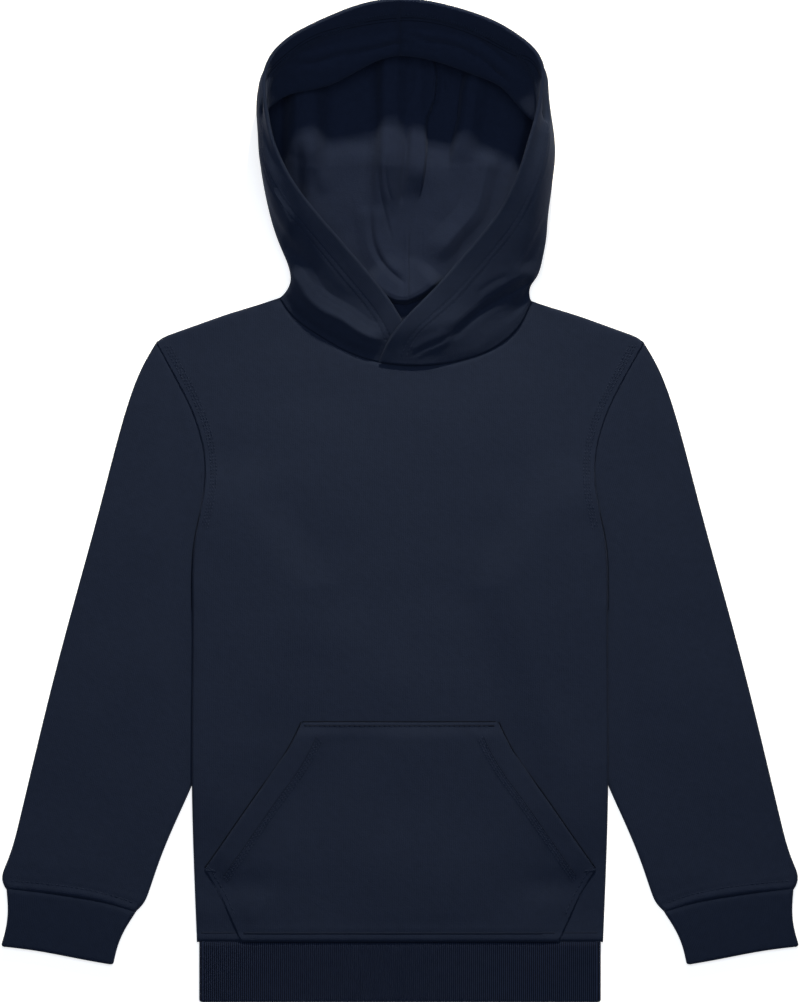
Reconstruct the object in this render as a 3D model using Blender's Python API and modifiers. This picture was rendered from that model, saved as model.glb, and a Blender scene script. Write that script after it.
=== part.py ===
"""A toddler's pullover hoodie, laid flat with its front up and its hood standing open.

The origin is on the surface under the garment, below the middle of its outline.
+Y runs from the hem to the top of the hood, +X is the viewer's right and +Z is up.
Sizes are in millimetres until a mesh is made. Each panel is a grid of points on the
cloth's outer face, thickened inward to the wall of the cloth.
"""
import bmesh
import bpy
import numpy as np

MILLIMETRE = 0.001

# Driving sizes
LENGTH = 601.2              # hem to top of hood
SPAN = 480.0                # cuff to cuff
TOP = LENGTH / 2
HEM = -LENGTH / 2
WAIST_SEAM = HEM + 36.0     # where the body meets the waistband
WAIST_HALF = 120.7          # half width of the waistband
CLOTH = 1.5                 # sweatshirt fleece
BAND = 2.3                  # rib knit, folded double
REST_GAP = 0.6              # between two layers that lie on each other
SEAM_GAP = 0.4              # between two edges that are sewn together
LAYERS = 2 * CLOTH + REST_GAP
RIB_PITCH = 1.23
RIB_DEPTH = 0.35
ROLL = 2.4                  # how far a rolled edge reaches in from the outline
ROLL_CLEARANCE = 0.4        # what a rolled edge lacks of coming down by both layers
SIDE_ROLL = (-4.0, -45.0)   # heights between which the side's roll sets in
SHOULDER_ROLL = (80.0, 96.0)    # distances from the middle between which it does so there

# Outline of the body, right half, from the shoulder's end down the armhole and the side
SIDE_LINE = (  # x, y
    (146.1, 96.6), (134.1, 75.0), (123.3, 52.8), (117.3, 31.8), (117.0, 6.0),
    (122.7, -20.4), (124.8, -60.0), (125.1, -170.4), (122.1, WAIST_SEAM + SEAM_GAP),
)
# Front neckline from the left shoulder to the right one
NECK_LINE = (  # x, y
    (-72.9, 121.2), (-66.0, 112.5), (-48.3, 99.6), (-30.3, 89.5), (-0.3, 82.2),
    (21.9, 82.4), (51.9, 90.0), (66.0, 98.5), (75.5, 109.5), (78.5, 119.2),
)
BACK_NECK = (  # x, y
    (-72.9, 121.2), (-40.0, 119.3), (0.0, 118.6), (42.0, 118.3), (78.5, 119.2),
)
# Rows of the body below the armholes' middle; the pocket shares the lowest ones
BODY_ROWS = (40.0, 25.0, 10.0, -4.0, -20.0, -45.0, -75.0, -105.0)
# Kangaroo pocket: half width at each height, widest at the foot of the openings
POCKET_ROWS = (  # y, half width
    (-132.3, 58.2), (-148.8, 66.5), (-172.0, 82.6), (-196.0, 99.4), (-220.8, 116.7),
    (-236.4, 107.1), (-250.0, 101.0), (-258.0, 97.4), (WAIST_SEAM + SEAM_GAP, 94.5),
)
POCKET_CELLS = 12
POCKET_GAP = 0.9            # the pocket stands a little off the front
NECK_SHARE = 0.56           # part of the body's columns that ends in the neckline
NECK_CELLS = 5
SHOULDER_CELLS = 3
UPPER_CELLS = 4

# Sleeve, right one: outer edge from the shoulder to the cuff, and the underarm edge,
# whose upper part lies under the body
SLEEVE_OUTER = (  # x, y
    (154.5, 82.2), (162.3, 63.0), (168.3, 43.2), (179.5, 0.6), (205.5, -95.4),
    (228.9, -191.4), (236.6, -217.0), (239.2, -226.5), (236.9, -232.9),
)
UNDERARM = (86.0, -50.0)
SLEEVE_INNER = (  # x, y
    UNDERARM, (107.0, -112.0), (125.1, -170.4), (132.3, -186.6), (145.5, -218.4),
    (150.6, -233.4), (154.0, -241.0), (159.0, -246.4),
)
HIDDEN_HEAD = ((113.5, -9.0), (103.0, -31.0), UNDERARM)
SEEN_ARMHOLE_END = 5.0      # below this height the sleeve's head runs under the body
SLEEVE_ROWS = (0.0, 0.12, 0.24, 0.36, 0.48, 0.6, 0.72, 0.83, 0.92, 0.965, 0.985, 1.0)
SLEEVE_CROWN = 1.4          # how far the cloth stands up along the sleeve's middle
CROWN_SIDE = (131.0, 146.0)     # it does so only this far out, clear of the body
CUFF_SEAM = (  # x, y
    (236.5, -233.3), (220.5, -234.4), (192.3, -238.0), (174.3, -242.0), (159.3, -247.3),
)
CUFF_HEM = (  # x, y
    (SPAN / 2, -267.0), (219.3, -269.6), (189.3, -275.2), (172.3, -278.2),
)
CUFF_BEND = 2.2             # how far both edges of a cuff bend in, half way down
CUFF_ROWS = (0.0, 0.33, 0.66, 0.975, 1.0)
BAND_EDGE = 0.6             # the folded edge of a rib band is rounded by this much
RIB_END = 0.8               # the ribs of the waistband fade out over this much of its hem
PUFF = 1.7                  # rise of the cloth where it is gathered into a rib band
PUFF_REACH = 12.0
LIFT = LAYERS + 0.4         # rise of the body where a sleeve runs under it
LIFT_ENDS = (32.0, -206.0)  # heights between which it rises
LIFT_REACH = 52.0           # how far in from the hidden underarm the rise begins
LIFT_SLOPE = 34.0

# Hood sections, from the neck seam to the top. Each named line runs the hood's length:
# the rim of the opening, the fold that dips in under the brim at the top, the back of
# that fold, which lower down is the outside of the hood, and the widest line.
SECTION_PLACES = (0.0, 0.05, 0.11, 0.2, 0.32, 0.45, 0.58, 0.7, 0.8, 0.88, 0.94, 1.0)
LEFT_HOOD = {  # x, y, z
    "rim": (
        (11.7, 82.6, 3.5), (7, 93, 8), (1, 107, 13), (-13, 128, 21), (-33, 152, 32),
        (-56, 178.5, 44), (-72, 203, 53), (-80, 228, 58), (-82.3, 250, 61),
        (-72.5, 272.5, 63), (-45, 290, 64), (0, TOP, 65)),
    "fold": (
        (-12, 85, 3.5), (-13, 94, 8), (-16, 105, 13), (-29, 121, 19), (-46, 144, 29),
        (-65, 171, 40), (-78, 199, 49), (-82.5, 226.5, 52), (-79, 241, 50),
        (-62, 250, 46), (-38, 257, 43), (0, 268, 40)),
    "back": (
        (-45, 98, 3.5), (-46, 108, 8), (-46, 120, 14), (-53, 133, 17), (-63, 151, 23),
        (-75, 172, 32), (-82, 199, 40), (-85.5, 226, 42), (-84, 246, 38),
        (-70, 262, 33), (-42, 274, 29), (0, 284, 26)),
    "side": (
        (-72.9, 121.2, 3), (-67, 130, 8), (-66, 138, 11), (-70, 149, 14), (-75.5, 163, 18),
        (-80, 181, 22), (-83.5, 202, 26), (-86.3, 226, 28), (-86, 249, 26),
        (-74, 268, 22), (-45, 285, 18), (0, 295, 15)),
}
RIGHT_HOOD = {  # x, y, z
    "rim": (
        (-11.7, 84, 7.2), (-7, 94.5, 12.6), (1, 106.5, 17), (20, 126, 23), (42, 150.5, 33),
        (62, 175.5, 44), (75, 204, 53), (82, 228, 58), (85, 250, 61),
        (76, 273.5, 63), (47, 291, 64), (0, TOP, 65)),
    "fold": (
        (14, 84, 6.4), (16, 94, 11.8), (20, 104, 15.8), (36, 118, 20.2), (56, 142, 30),
        (73, 169, 40), (84, 199, 49), (88, 226.5, 52), (82, 241, 50),
        (64, 246, 46), (38, 258, 43), (0, 268, 40)),
    "back": (
        (50, 90, 4), (52, 101, 9), (53, 113, 14), (62, 127, 17), (73, 148, 23),
        (82, 171, 32), (88.5, 200, 40), (89.5, 226, 42), (86, 246, 38),
        (72, 262, 33), (43, 274, 29), (0, 284, 26)),
    "side": (
        (78.5, 119.2, 3), (75, 127, 8), (77, 134, 11), (81, 146, 14), (85.5, 161, 18),
        (88.5, 181, 22), (92.5, 206, 26), (90.5, 228, 28), (88, 249, 26),
        (76, 268, 22), (46, 285, 18), (0, 295, 15)),
}
SPINE_Y = (119.1, 121.5, 125, 132, 143, 159, 179, 200, 221, 240, 256, 270)
FLOOR_INSET = 12.0          # from the widest line in to where the hood rests
HOOD_PLACES = {"rim": 0.0, "fold": 0.17, "back": 0.32, "side": 0.45, "turn": 0.53,
               "floor": 0.62, "middle": 0.8, "spine": 1.0}
HOOD_CELLS = (4, 4, 3, 2, 2, 3, 4)      # cells between one named place and the next
HOOD_ROWS = (0.0, 0.025, 0.05, 0.08, 0.11, 0.155, 0.2, 0.26, 0.33, 0.41, 0.5, 0.6, 0.7,
             0.77, 0.83, 0.88, 0.92, 0.96, 1.0)
TURN_HEIGHT = 0.4           # the turn under the widest line, as a share of its height
HEM_WIDTH = 24.0            # the hood's edge is turned in and sewn down this wide
HEM_CLOTH = 0.9             # what the turned edge adds to the wall
HEM_STEP = 4.0              # over this width the added wall fades out
NECK_EASE = 0.07            # how far up the hood its shape gives way to the neck seam
NECK_FADE = 0.08            # how far up the hood its hem is flattened into that seam
NECK_GAP = 0.6
# Standing folds in the back of the hood, where it is pushed up on the surface
HOOD_FOLDS = (  # x0, y0, x1, y1, height, half width
    (21.0, 260.0, 16.0, 180.0, 4.5, 15.0),
    (46.0, 244.0, 40.0, 212.0, 3.0, 14.0),
    (-27.0, 182.0, -20.0, 142.0, 3.0, 14.0),
)

# Colour as red, green, blue and roughness
FLEECE = (0.0116, 0.0160, 0.0296, 0.93)
RIB = (0.0105, 0.0145, 0.0270, 0.95)


def smooth(value):
    """Go from 0 to 1 with level ends."""
    value = np.clip(value, 0.0, 1.0)
    return value * value * (3.0 - 2.0 * value)


def spline(knots, values, places):
    """Read a natural cubic spline through the values at the knots."""
    knots = np.asarray(knots, float)
    values = np.asarray(values, float)
    places = np.asarray(places, float)
    count = len(knots)
    step = np.diff(knots)
    slopes = (values[1:] - values[:-1]) / step.reshape((-1,) + (1,) * (values.ndim - 1))
    matrix = np.eye(count)
    right = np.zeros_like(values)
    for row in range(1, count - 1):
        matrix[row, row - 1:row + 2] = (step[row - 1], 2 * (step[row - 1] + step[row]), step[row])
        right[row] = 6 * (slopes[row] - slopes[row - 1])
    bend = np.linalg.solve(matrix, right.reshape(count, -1)).reshape(values.shape)
    cell = np.clip(np.searchsorted(knots, places, side="right") - 1, 0, count - 2)
    shape = (-1,) + (1,) * (values.ndim - 1)
    width = step[cell].reshape(shape)
    after = ((places - knots[cell]) / step[cell]).reshape(shape)
    before = 1.0 - after
    curve = before * values[cell] + after * values[cell + 1]
    sag = (before ** 3 - before) * bend[cell] + (after ** 3 - after) * bend[cell + 1]
    return curve + sag * width ** 2 / 6.0


def lengths(points):
    """Share of the whole length at which each point of a line lies."""
    points = np.asarray(points, float)
    run = np.concatenate(([0.0], np.cumsum(np.linalg.norm(np.diff(points, axis=0), axis=1))))
    return run / run[-1]


def line_through(points, places):
    """Read a smooth line through points at shares of its length."""
    return spline(lengths(points), points, places)


def height_of(points, y):
    """Find the x of a falling outline at the heights y."""
    fine = line_through(points, np.linspace(0.0, 1.0, 400))
    return np.interp(-np.asarray(y, float), -fine[:, 1], fine[:, 0])


def fill(top, bottom, left, right):
    """Fill four border lines with a grid of points, rows running from top to bottom."""
    across = np.linspace(0.0, 1.0, len(top))[None, :, None]
    down = np.linspace(0.0, 1.0, len(left))[:, None, None]
    sides = (1 - across) * left[:, None] + across * right[:, None]
    ends = (1 - down) * top[None] + down * bottom[None]
    corners = ((1 - down) * ((1 - across) * top[0] + across * top[-1])
               + down * ((1 - across) * bottom[0] + across * bottom[-1]))
    return sides + ends - corners


def normals_of(line):
    """Unit normals in plan of a line, pointing to its left."""
    along = np.gradient(line, axis=0)
    along /= np.linalg.norm(along, axis=1, keepdims=True)
    return np.stack((-along[:, 1], along[:, 0]), axis=1)


def lift(x, y):
    """Rise of the body over the sleeves, whose underarm edges run under it."""
    hidden_edge = np.where(
        y > UNDERARM[1],
        np.interp(y, (UNDERARM[1], 0.0), (UNDERARM[0], 117.0)),
        np.interp(-y, (-UNDERARM[1], 170.4), (UNDERARM[0], 125.1)))
    across = smooth((np.abs(x) - hidden_edge + LIFT_REACH) / LIFT_SLOPE)
    along = smooth((LIFT_ENDS[0] - y) / 22.0) * smooth((y - LIFT_ENDS[1]) / LIFT_SLOPE)
    return LIFT * across * along


def puff(distance):
    """Rise of the cloth beside a rib band, by the distance from the seam."""
    return PUFF * smooth(1.0 - distance / PUFF_REACH)


def front_height(x, y):
    """Height of the front's outer face."""
    return LAYERS + lift(x, y) + puff(y - WAIST_SEAM)


def body_columns():
    """Places of the body's columns, from the left side, -1, to the right side, 1."""
    neck = np.linspace(0.0, NECK_SHARE, NECK_CELLS + 1)
    shoulder = np.linspace(NECK_SHARE, 1.0, SHOULDER_CELLS + 1)[1:]
    half = np.concatenate((neck, shoulder))
    return np.concatenate((-half[:0:-1], half))


def body_outline_rows():
    """Heights on the side line at which the body's rows end."""
    armhole = line_through(SIDE_LINE, np.linspace(0.0, 0.2, 200))
    upper = np.linspace(armhole[0, 1], BODY_ROWS[0], UPPER_CELLS + 1)[:-1]
    return np.concatenate((upper, BODY_ROWS, [row[0] for row in POCKET_ROWS]))


def side_edge():
    """The right edge of the body at each of its rows."""
    rows = body_outline_rows()
    return np.stack((height_of(SIDE_LINE, rows), rows), axis=1)


def body_plan(neckline, inset, neck_inset):
    """Plan of a body panel drawn in from its outline, and the outward normals of its ends."""
    edge = side_edge()
    neck = line_through(neckline, np.linspace(0.0, 1.0, 2 * NECK_CELLS + 1))
    shoulder_places = np.linspace(0.0, 1.0, SHOULDER_CELLS + 1)[:-1, None]
    left_corner = edge[0] * (-1, 1)
    left_shoulder = left_corner + (neck[0] - left_corner) * shoulder_places
    right_shoulder = edge[0] + (neck[-1] - edge[0]) * shoulder_places
    top = np.concatenate((left_shoulder, neck, right_shoulder[::-1]))
    upward = normals_of(top)
    rightward = normals_of(edge[::-1])[::-1] * -1
    right = edge - rightward * inset
    top_inset = np.full((len(top), 1), inset)
    top_inset[SHOULDER_CELLS + 1:-SHOULDER_CELLS - 1] = neck_inset
    top = top - upward * top_inset
    corner = edge[0] - (rightward[0] + upward[-1]) * inset
    right[0] = corner
    top[-1] = corner
    top[0] = corner * (-1, 1)
    left = right * (-1, 1)
    split = UPPER_CELLS
    lower_x = right[split:, :1] * body_columns()
    lower_y = np.repeat(right[split:, 1:], lower_x.shape[1], axis=1)
    lower = np.stack((lower_x, lower_y), axis=2)
    upper = fill(top, lower[0], left[:split + 1], right[:split + 1])
    return np.concatenate((upper[:-1], lower)), upward, rightward


def roll(line, outward, depth):
    """Lines beyond a border, turning down by the depth as far as the outline."""
    rings = []
    for angle in np.radians((45.0, 90.0)):
        ring = line.copy()
        ring[:, :2] += outward * ROLL * np.sin(angle)
        ring[:, 2] -= depth * (1.0 - np.cos(angle))
        rings.append(ring)
    return rings


def make_material(name, colour):
    """A plain Principled BSDF for a cloth."""
    material = bpy.data.materials.new(name)
    material.use_nodes = True
    shader = material.node_tree.nodes["Principled BSDF"]
    shader.inputs["Base Color"].default_value = (*colour[:3], 1.0)
    shader.inputs["Roughness"].default_value = colour[3]
    shader.inputs["Metallic"].default_value = 0.0
    return material


def put_mesh(name, points, faces, material, collection):
    """Make one named object from points in millimetres."""
    mesh = bpy.data.meshes.new(name)
    mesh.from_pydata((np.asarray(points) * MILLIMETRE).tolist(), [], faces)
    mesh.update()
    mesh.materials.append(material)
    thing = bpy.data.objects.new(name, mesh)
    collection.objects.link(thing)
    mesh.shade_smooth()
    mesh.set_sharp_from_angle(angle=np.radians(35.0))
    return thing


def put_wall(name, grid, material, collection, other_way=False):
    """Make a panel from a grid on the cloth's outer face, thickened to the inside.

    Panels that lie on each other split their cells along the same diagonals.
    """
    rows, columns = grid.shape[:2]
    faces = []
    for row in range(rows - 1):
        for column in range(columns - 1):
            a = row * columns + column
            b = a + columns
            c = b + 1
            d = a + 1
            faces += [(a, b, d), (b, c, d)] if other_way else [(a, b, c), (a, c, d)]
    thing = put_mesh(name, grid.reshape(-1, 3), faces, material, collection)
    wall = thing.modifiers.new("wall", "SOLIDIFY")
    wall.thickness = CLOTH * MILLIMETRE
    wall.offset = -1.0


def face_normals(grid):
    """Unit normals at the points of a grid, averaged from the cells round each one."""
    cell = np.cross(grid[1:, 1:] - grid[:-1, :-1], grid[:-1, 1:] - grid[1:, :-1])
    normal = np.zeros_like(grid)
    for down in (slice(None, -1), slice(1, None)):
        for across in (slice(None, -1), slice(1, None)):
            normal[down, across] += cell
    return normal / np.linalg.norm(normal, axis=2, keepdims=True)


def put_slab(name, outer, inner, material, collection, tube=False):
    """Make a closed wall between the points of its outer and inner face."""
    rows, columns = outer.shape[:2]
    size = rows * columns
    index = np.arange(size).reshape(rows, columns)
    if tube:
        index = np.hstack((index, index[:, :1]))
    faces = []
    for row in range(rows - 1):
        for column in range(index.shape[1] - 1):
            a, d = index[row, column:column + 2]
            b, c = index[row + 1, column:column + 2]
            faces += [(a, b, c, d), (d + size, c + size, b + size, a + size)]
    border = [index[0], index[-1][::-1]]
    if not tube:
        border += [index[:, -1], index[::-1, 0]]
    for line in border:
        faces += [(a, b, b + size, a + size) for a, b in zip(line[:-1], line[1:])]
    points = np.concatenate((outer.reshape(-1, 3), inner.reshape(-1, 3)))
    put_mesh(name, points, [tuple(int(i) for i in face) for face in faces], material, collection)


def build_front(material, collection):
    """The front, whose sides and shoulders roll down over the edges of the back."""
    plan, upward, rightward = body_plan(NECK_LINE, ROLL, ROLL)
    grid = np.dstack((plan, front_height(plan[..., 0], plan[..., 1])))
    turn = LAYERS - ROLL_CLEARANCE
    start, end = SIDE_ROLL
    side_depth = turn * smooth((start - grid[:, 0, 1]) / (start - end))
    right = roll(grid[:, -1], rightward, side_depth)
    left = roll(grid[:, 0], rightward * (-1, 1), side_depth)
    grid = np.stack([left[1], left[0]] + list(grid.transpose(1, 0, 2)) + right, axis=1)
    upward = np.concatenate((upward[:1], upward[:1], upward, upward[-1:], upward[-1:]))
    start, end = SHOULDER_ROLL
    top_depth = turn * smooth((np.abs(grid[0, :, 0]) - start) / (end - start))
    above = roll(grid[0], upward, top_depth)
    grid = np.concatenate((above[1][None], above[0][None], grid))
    put_wall("front", grid, material, collection)


def build_back(material, collection):
    """The back, which lies on the surface inside the front's rolled edges."""
    plan, _, _ = body_plan(BACK_NECK, ROLL, 0.0)
    grid = np.dstack((plan, lift(plan[..., 0], plan[..., 1])))
    put_wall("back", grid[:, ::-1], material, collection, other_way=True)


def build_pocket(material, collection):
    """The kangaroo pocket, a row at each height of the front's lowest rows."""
    columns = np.linspace(-1.0, 1.0, POCKET_CELLS + 1)
    plan, _, _ = body_plan(NECK_LINE, ROLL, ROLL)
    grid = np.empty((len(POCKET_ROWS), len(columns), 3))
    for row, (y, half_width) in enumerate(POCKET_ROWS):
        below = plan[row - len(POCKET_ROWS)]
        height = front_height(below[:, 0], below[:, 1]) + POCKET_GAP + CLOTH
        x = half_width * columns
        grid[row] = np.column_stack((x, np.full_like(x, y), np.interp(x, below[:, 0], height)))
    put_wall("pocket", grid, material, collection)


def sleeve_plan():
    """Plan of the right sleeve, rows from the armhole to the cuff, inner edge first."""
    edge = side_edge()
    outward = normals_of(edge[::-1])[::-1] * -1
    seen = edge[:, 1] > SEEN_ARMHOLE_END
    head = np.concatenate((edge[seen] + outward[seen] * SEAM_GAP, HIDDEN_HEAD))
    outer = line_through(np.concatenate((head[:1], SLEEVE_OUTER)), SLEEVE_ROWS)
    inner = line_through(SLEEVE_INNER, SLEEVE_ROWS)
    cuff = line_through(CUFF_SEAM, np.linspace(0.0, 1.0, len(head)))
    cuff[:, 1] += SEAM_GAP
    outer[-1] = cuff[0]
    inner[-1] = cuff[-1]
    return fill(head[::-1], cuff[::-1], inner, outer)


def tube_face(plan, low, high, inset):
    """One face of a flattened tube: over the top of each row, round its edge and back."""
    across = plan[:, -1] - plan[:, 0]
    across /= np.linalg.norm(across, axis=1, keepdims=True)
    upper = np.dstack((plan, high)).transpose(1, 0, 2)
    lower = np.dstack((plan, np.full_like(high, low))).transpose(1, 0, 2)
    edges = []
    for column, outward in ((-1, across), (0, -across)):
        along = np.gradient(plan[:, column], axis=0)
        along /= np.linalg.norm(along, axis=1, keepdims=True)
        slant = np.abs(across[:, 0] * along[:, 1] - across[:, 1] * along[:, 0])[:, None]
        radius = (high[:, column] - low)[:, None] / 2.0
        rings = []
        for angle in np.radians((50.0, 0.0, -50.0)):
            spot = plan[:, column] - outward * (inset + radius * (1.0 - np.cos(angle))) / slant
            rings.append(np.hstack((spot, low + radius * (1.0 + np.sin(angle)))))
        edges.append(rings)
    ring = list(upper[1:-1]) + edges[0] + list(lower[-2:0:-1]) + edges[1][::-1]
    return np.stack(ring, axis=1)


def build_sleeve(side, sign, material, collection):
    """One sleeve, a flattened tube whose underarm runs under the body."""
    plan = sleeve_plan()
    share = np.linspace(0.0, 1.0, plan.shape[1])
    start, end = CROWN_SIDE
    clear_of_body = smooth((plan[..., 0] - start) / (end - start))
    height = LAYERS + SLEEVE_CROWN * np.sin(np.pi * share) * clear_of_body
    height += puff(np.linalg.norm(plan - plan[-1:], axis=2))
    outer = tube_face(plan, 0.0, height, 0.0)
    inner = tube_face(plan, CLOTH, height - CLOTH, CLOTH)
    flip = (sign, 1, 1)
    put_slab("sleeve_" + side, outer[:, ::sign] * flip, inner[:, ::sign] * flip,
             material, collection, tube=True)


def band_loop(row, low, high, ridge, shares, under_shares):
    """One loop round a rib band: its points, and their places round it from 0 to 1.

    It runs over the top, round the right edge, back underneath and round the left edge.
    """
    ends = line_through(row, (0.0, 1.0))
    along = (ends[1] - ends[0]) / np.linalg.norm(ends[1] - ends[0])
    radius = (high - low) / 2.0
    angles = np.radians((45.0, 0.0, -45.0))[:, None]
    rise = high + ridge * (np.arange(len(shares)) % 2)
    top = np.column_stack((line_through(row, shares), rise))
    under = np.column_stack((line_through(row, under_shares), np.full(len(under_shares), low)))
    inset = along * radius * (1.0 - np.cos(angles))
    right = np.hstack((ends[1] - inset, low + radius * (1.0 + np.sin(angles))))
    left = np.hstack((ends[0] + inset, low + radius * (1.0 - np.sin(angles))))
    points = np.concatenate((top, right, under[::-1], left))
    edge_places = np.array((0.47, 0.48, 0.49))
    places = np.concatenate((0.46 * shares, edge_places,
                             0.5 + 0.46 * (1.0 - under_shares[::-1]), 0.5 + edge_places))
    return points, places


def zip_loops(first, second):
    """Triangles between two closed loops of unlike counts, given as numbers and places."""
    (outer, outer_places), (inner, inner_places) = first, second
    i = 0
    j = 0
    faces = []
    while i < len(outer) or j < len(inner):
        next_outer = outer_places[i + 1] if i + 1 < len(outer) else 1.0 + (i == len(outer))
        next_inner = inner_places[j + 1] if j + 1 < len(inner) else 1.0 + (j == len(inner))
        a = outer[i % len(outer)]
        b = inner[j % len(inner)]
        if j == len(inner) or (i < len(outer) and next_outer <= next_inner):
            i += 1
            faces.append((a, outer[i % len(outer)], b))
        else:
            j += 1
            faces.append((a, inner[j % len(inner)], b))
    return faces


def build_rib_band(name, rows, sign, material, collection):
    """A tube of rib knit, ribs raised on its upper face over a plain inside."""
    height = 2 * BAND + REST_GAP
    width = np.linalg.norm(rows[0][-1] - rows[0][0])
    margin = (height / 2.0 + 0.5) / width
    ribs = int(round(width / RIB_PITCH))
    shares = np.linspace(margin, 1.0 - margin, 2 * ribs + 1)
    plain = np.linspace(margin, 1.0 - margin, max(4, ribs // 10))
    points = []
    loops = []
    sections = [(row, 0.0, height, RIB_DEPTH, shares) for row in rows[:-1]]
    sections.append((rows[-1], BAND_EDGE, height - BAND_EDGE, 0.0, shares))
    for row in (rows[-1], rows[0]):
        along = (row[-1] - row[0]) / width
        inside = row + along * np.linspace(BAND, -BAND, len(row))[:, None]
        sections.append((inside, BAND, height - BAND, 0.0, plain))
    for row, low, high, ridge, top_shares in sections:
        loop, places = band_loop(row, low, high, ridge, top_shares, plain)
        start = sum(len(part) for part in points)
        points.append(loop)
        loops.append((list(range(start, start + len(loop))), places))
    faces = []
    for number, loop in enumerate(loops):
        other = loops[(number + 1) % len(loops)]
        if len(loop[0]) == len(other[0]):
            near = loop[0] + loop[0][:1]
            far = other[0] + other[0][:1]
            faces += list(zip(near[:-1], near[1:], far[1:], far[:-1]))
        else:
            faces += zip_loops(loop, other)
    points = np.concatenate(points)
    points[:, 0] *= sign
    thing = put_mesh(name, points, faces, material, collection)
    shape = bmesh.new()
    shape.from_mesh(thing.data)
    bmesh.ops.recalc_face_normals(shape, faces=shape.faces)
    shape.to_mesh(thing.data)
    shape.free()


def build_waistband(material, collection):
    """The ribbed waistband."""
    rows = [np.array(((-WAIST_HALF, y), (WAIST_HALF, y)))
            for y in (WAIST_SEAM, HEM + RIB_END, HEM)]
    build_rib_band("waistband", rows, 1, material, collection)


def build_cuff(side, sign, material, collection):
    """One ribbed cuff, drawn in half way down."""
    shares = np.linspace(1.0, 0.0, 6)
    seam = line_through(CUFF_SEAM, shares)
    hem = line_through(CUFF_HEM, shares)
    along = (seam[-1] - seam[0]) / np.linalg.norm(seam[-1] - seam[0])
    rows = []
    for down in CUFF_ROWS:
        bend = CUFF_BEND * np.sin(np.pi * down)
        rows.append(seam + (hem - seam) * down + along * bend * (2.0 * shares[:, None] - 1.0))
    build_rib_band("cuff_" + side, rows, sign, material, collection)


def hood_sections(lines):
    """Knots of one hood panel, a row for each section, the rim first."""
    spine = np.array([(0.0, y, 0.0) for y in SPINE_Y])
    side = np.array(lines["side"], float)
    inward = spine - side
    inward[:, 2] = 0.0
    inward /= np.linalg.norm(inward, axis=1, keepdims=True)
    turn = side + inward
    turn[:, 2] *= TURN_HEIGHT
    floor = side + inward * FLOOR_INSET
    floor[:, 2] = 0.0
    named = dict(lines)
    named.update(side=side, turn=turn, floor=floor, middle=(floor + spine) / 2, spine=spine)
    return np.stack([np.array(named[name], float) for name in HOOD_PLACES], axis=1)


def neck_row(sections, places, sign):
    """The hood's edge in the neck seam: along the front neckline and back under it."""
    shares = np.linspace(0.0, 1.0, 2 * NECK_CELLS + 1)
    front = line_through(NECK_LINE, shares)
    back = line_through(BACK_NECK, shares)
    corner = front[0] if sign < 0 else front[-1]
    start = sections[0, 0]
    radius = LAYERS / 2.0
    fold = corner[0] - sign * radius
    to_side = np.clip(places / HOOD_PLACES["side"], 0.0, 1.0)
    round_fold = np.clip((places - HOOD_PLACES["side"])
                         / (HOOD_PLACES["floor"] - HOOD_PLACES["side"]), 0.0, 1.0)
    to_spine = np.clip((places - HOOD_PLACES["floor"]) / (1.0 - HOOD_PLACES["floor"]), 0.0, 1.0)
    angle = np.pi * (0.5 - round_fold)
    x = start[0] + (fold - start[0]) * to_side + sign * radius * np.cos(angle)
    x *= 1.0 - to_spine
    z = radius * (1.0 + np.sin(angle)) + (start[2] - LAYERS) * smooth(1.6 - to_side * 2.6)
    on_front = np.interp(x, front[:, 0], front[:, 1])
    on_back = np.interp(x, back[:, 0], back[:, 1])
    y = on_front + (on_back - on_front) * smooth(round_fold) + NECK_GAP
    return np.column_stack((x, y, z))


def standing_folds(points):
    """Rise of the hood's back where it stands in folds."""
    rise = np.zeros(points.shape[:2])
    for x0, y0, x1, y1, height, half_width in HOOD_FOLDS:
        start = np.array((x0, y0))
        along = np.array((x1, y1)) - start
        share = np.clip(((points[..., :2] - start) @ along) / (along @ along), 0.0, 1.0)
        away = np.linalg.norm(points[..., :2] - start - share[..., None] * along, axis=2)
        rise = np.maximum(rise, height * smooth(1.0 - away / half_width))
    return rise


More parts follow.
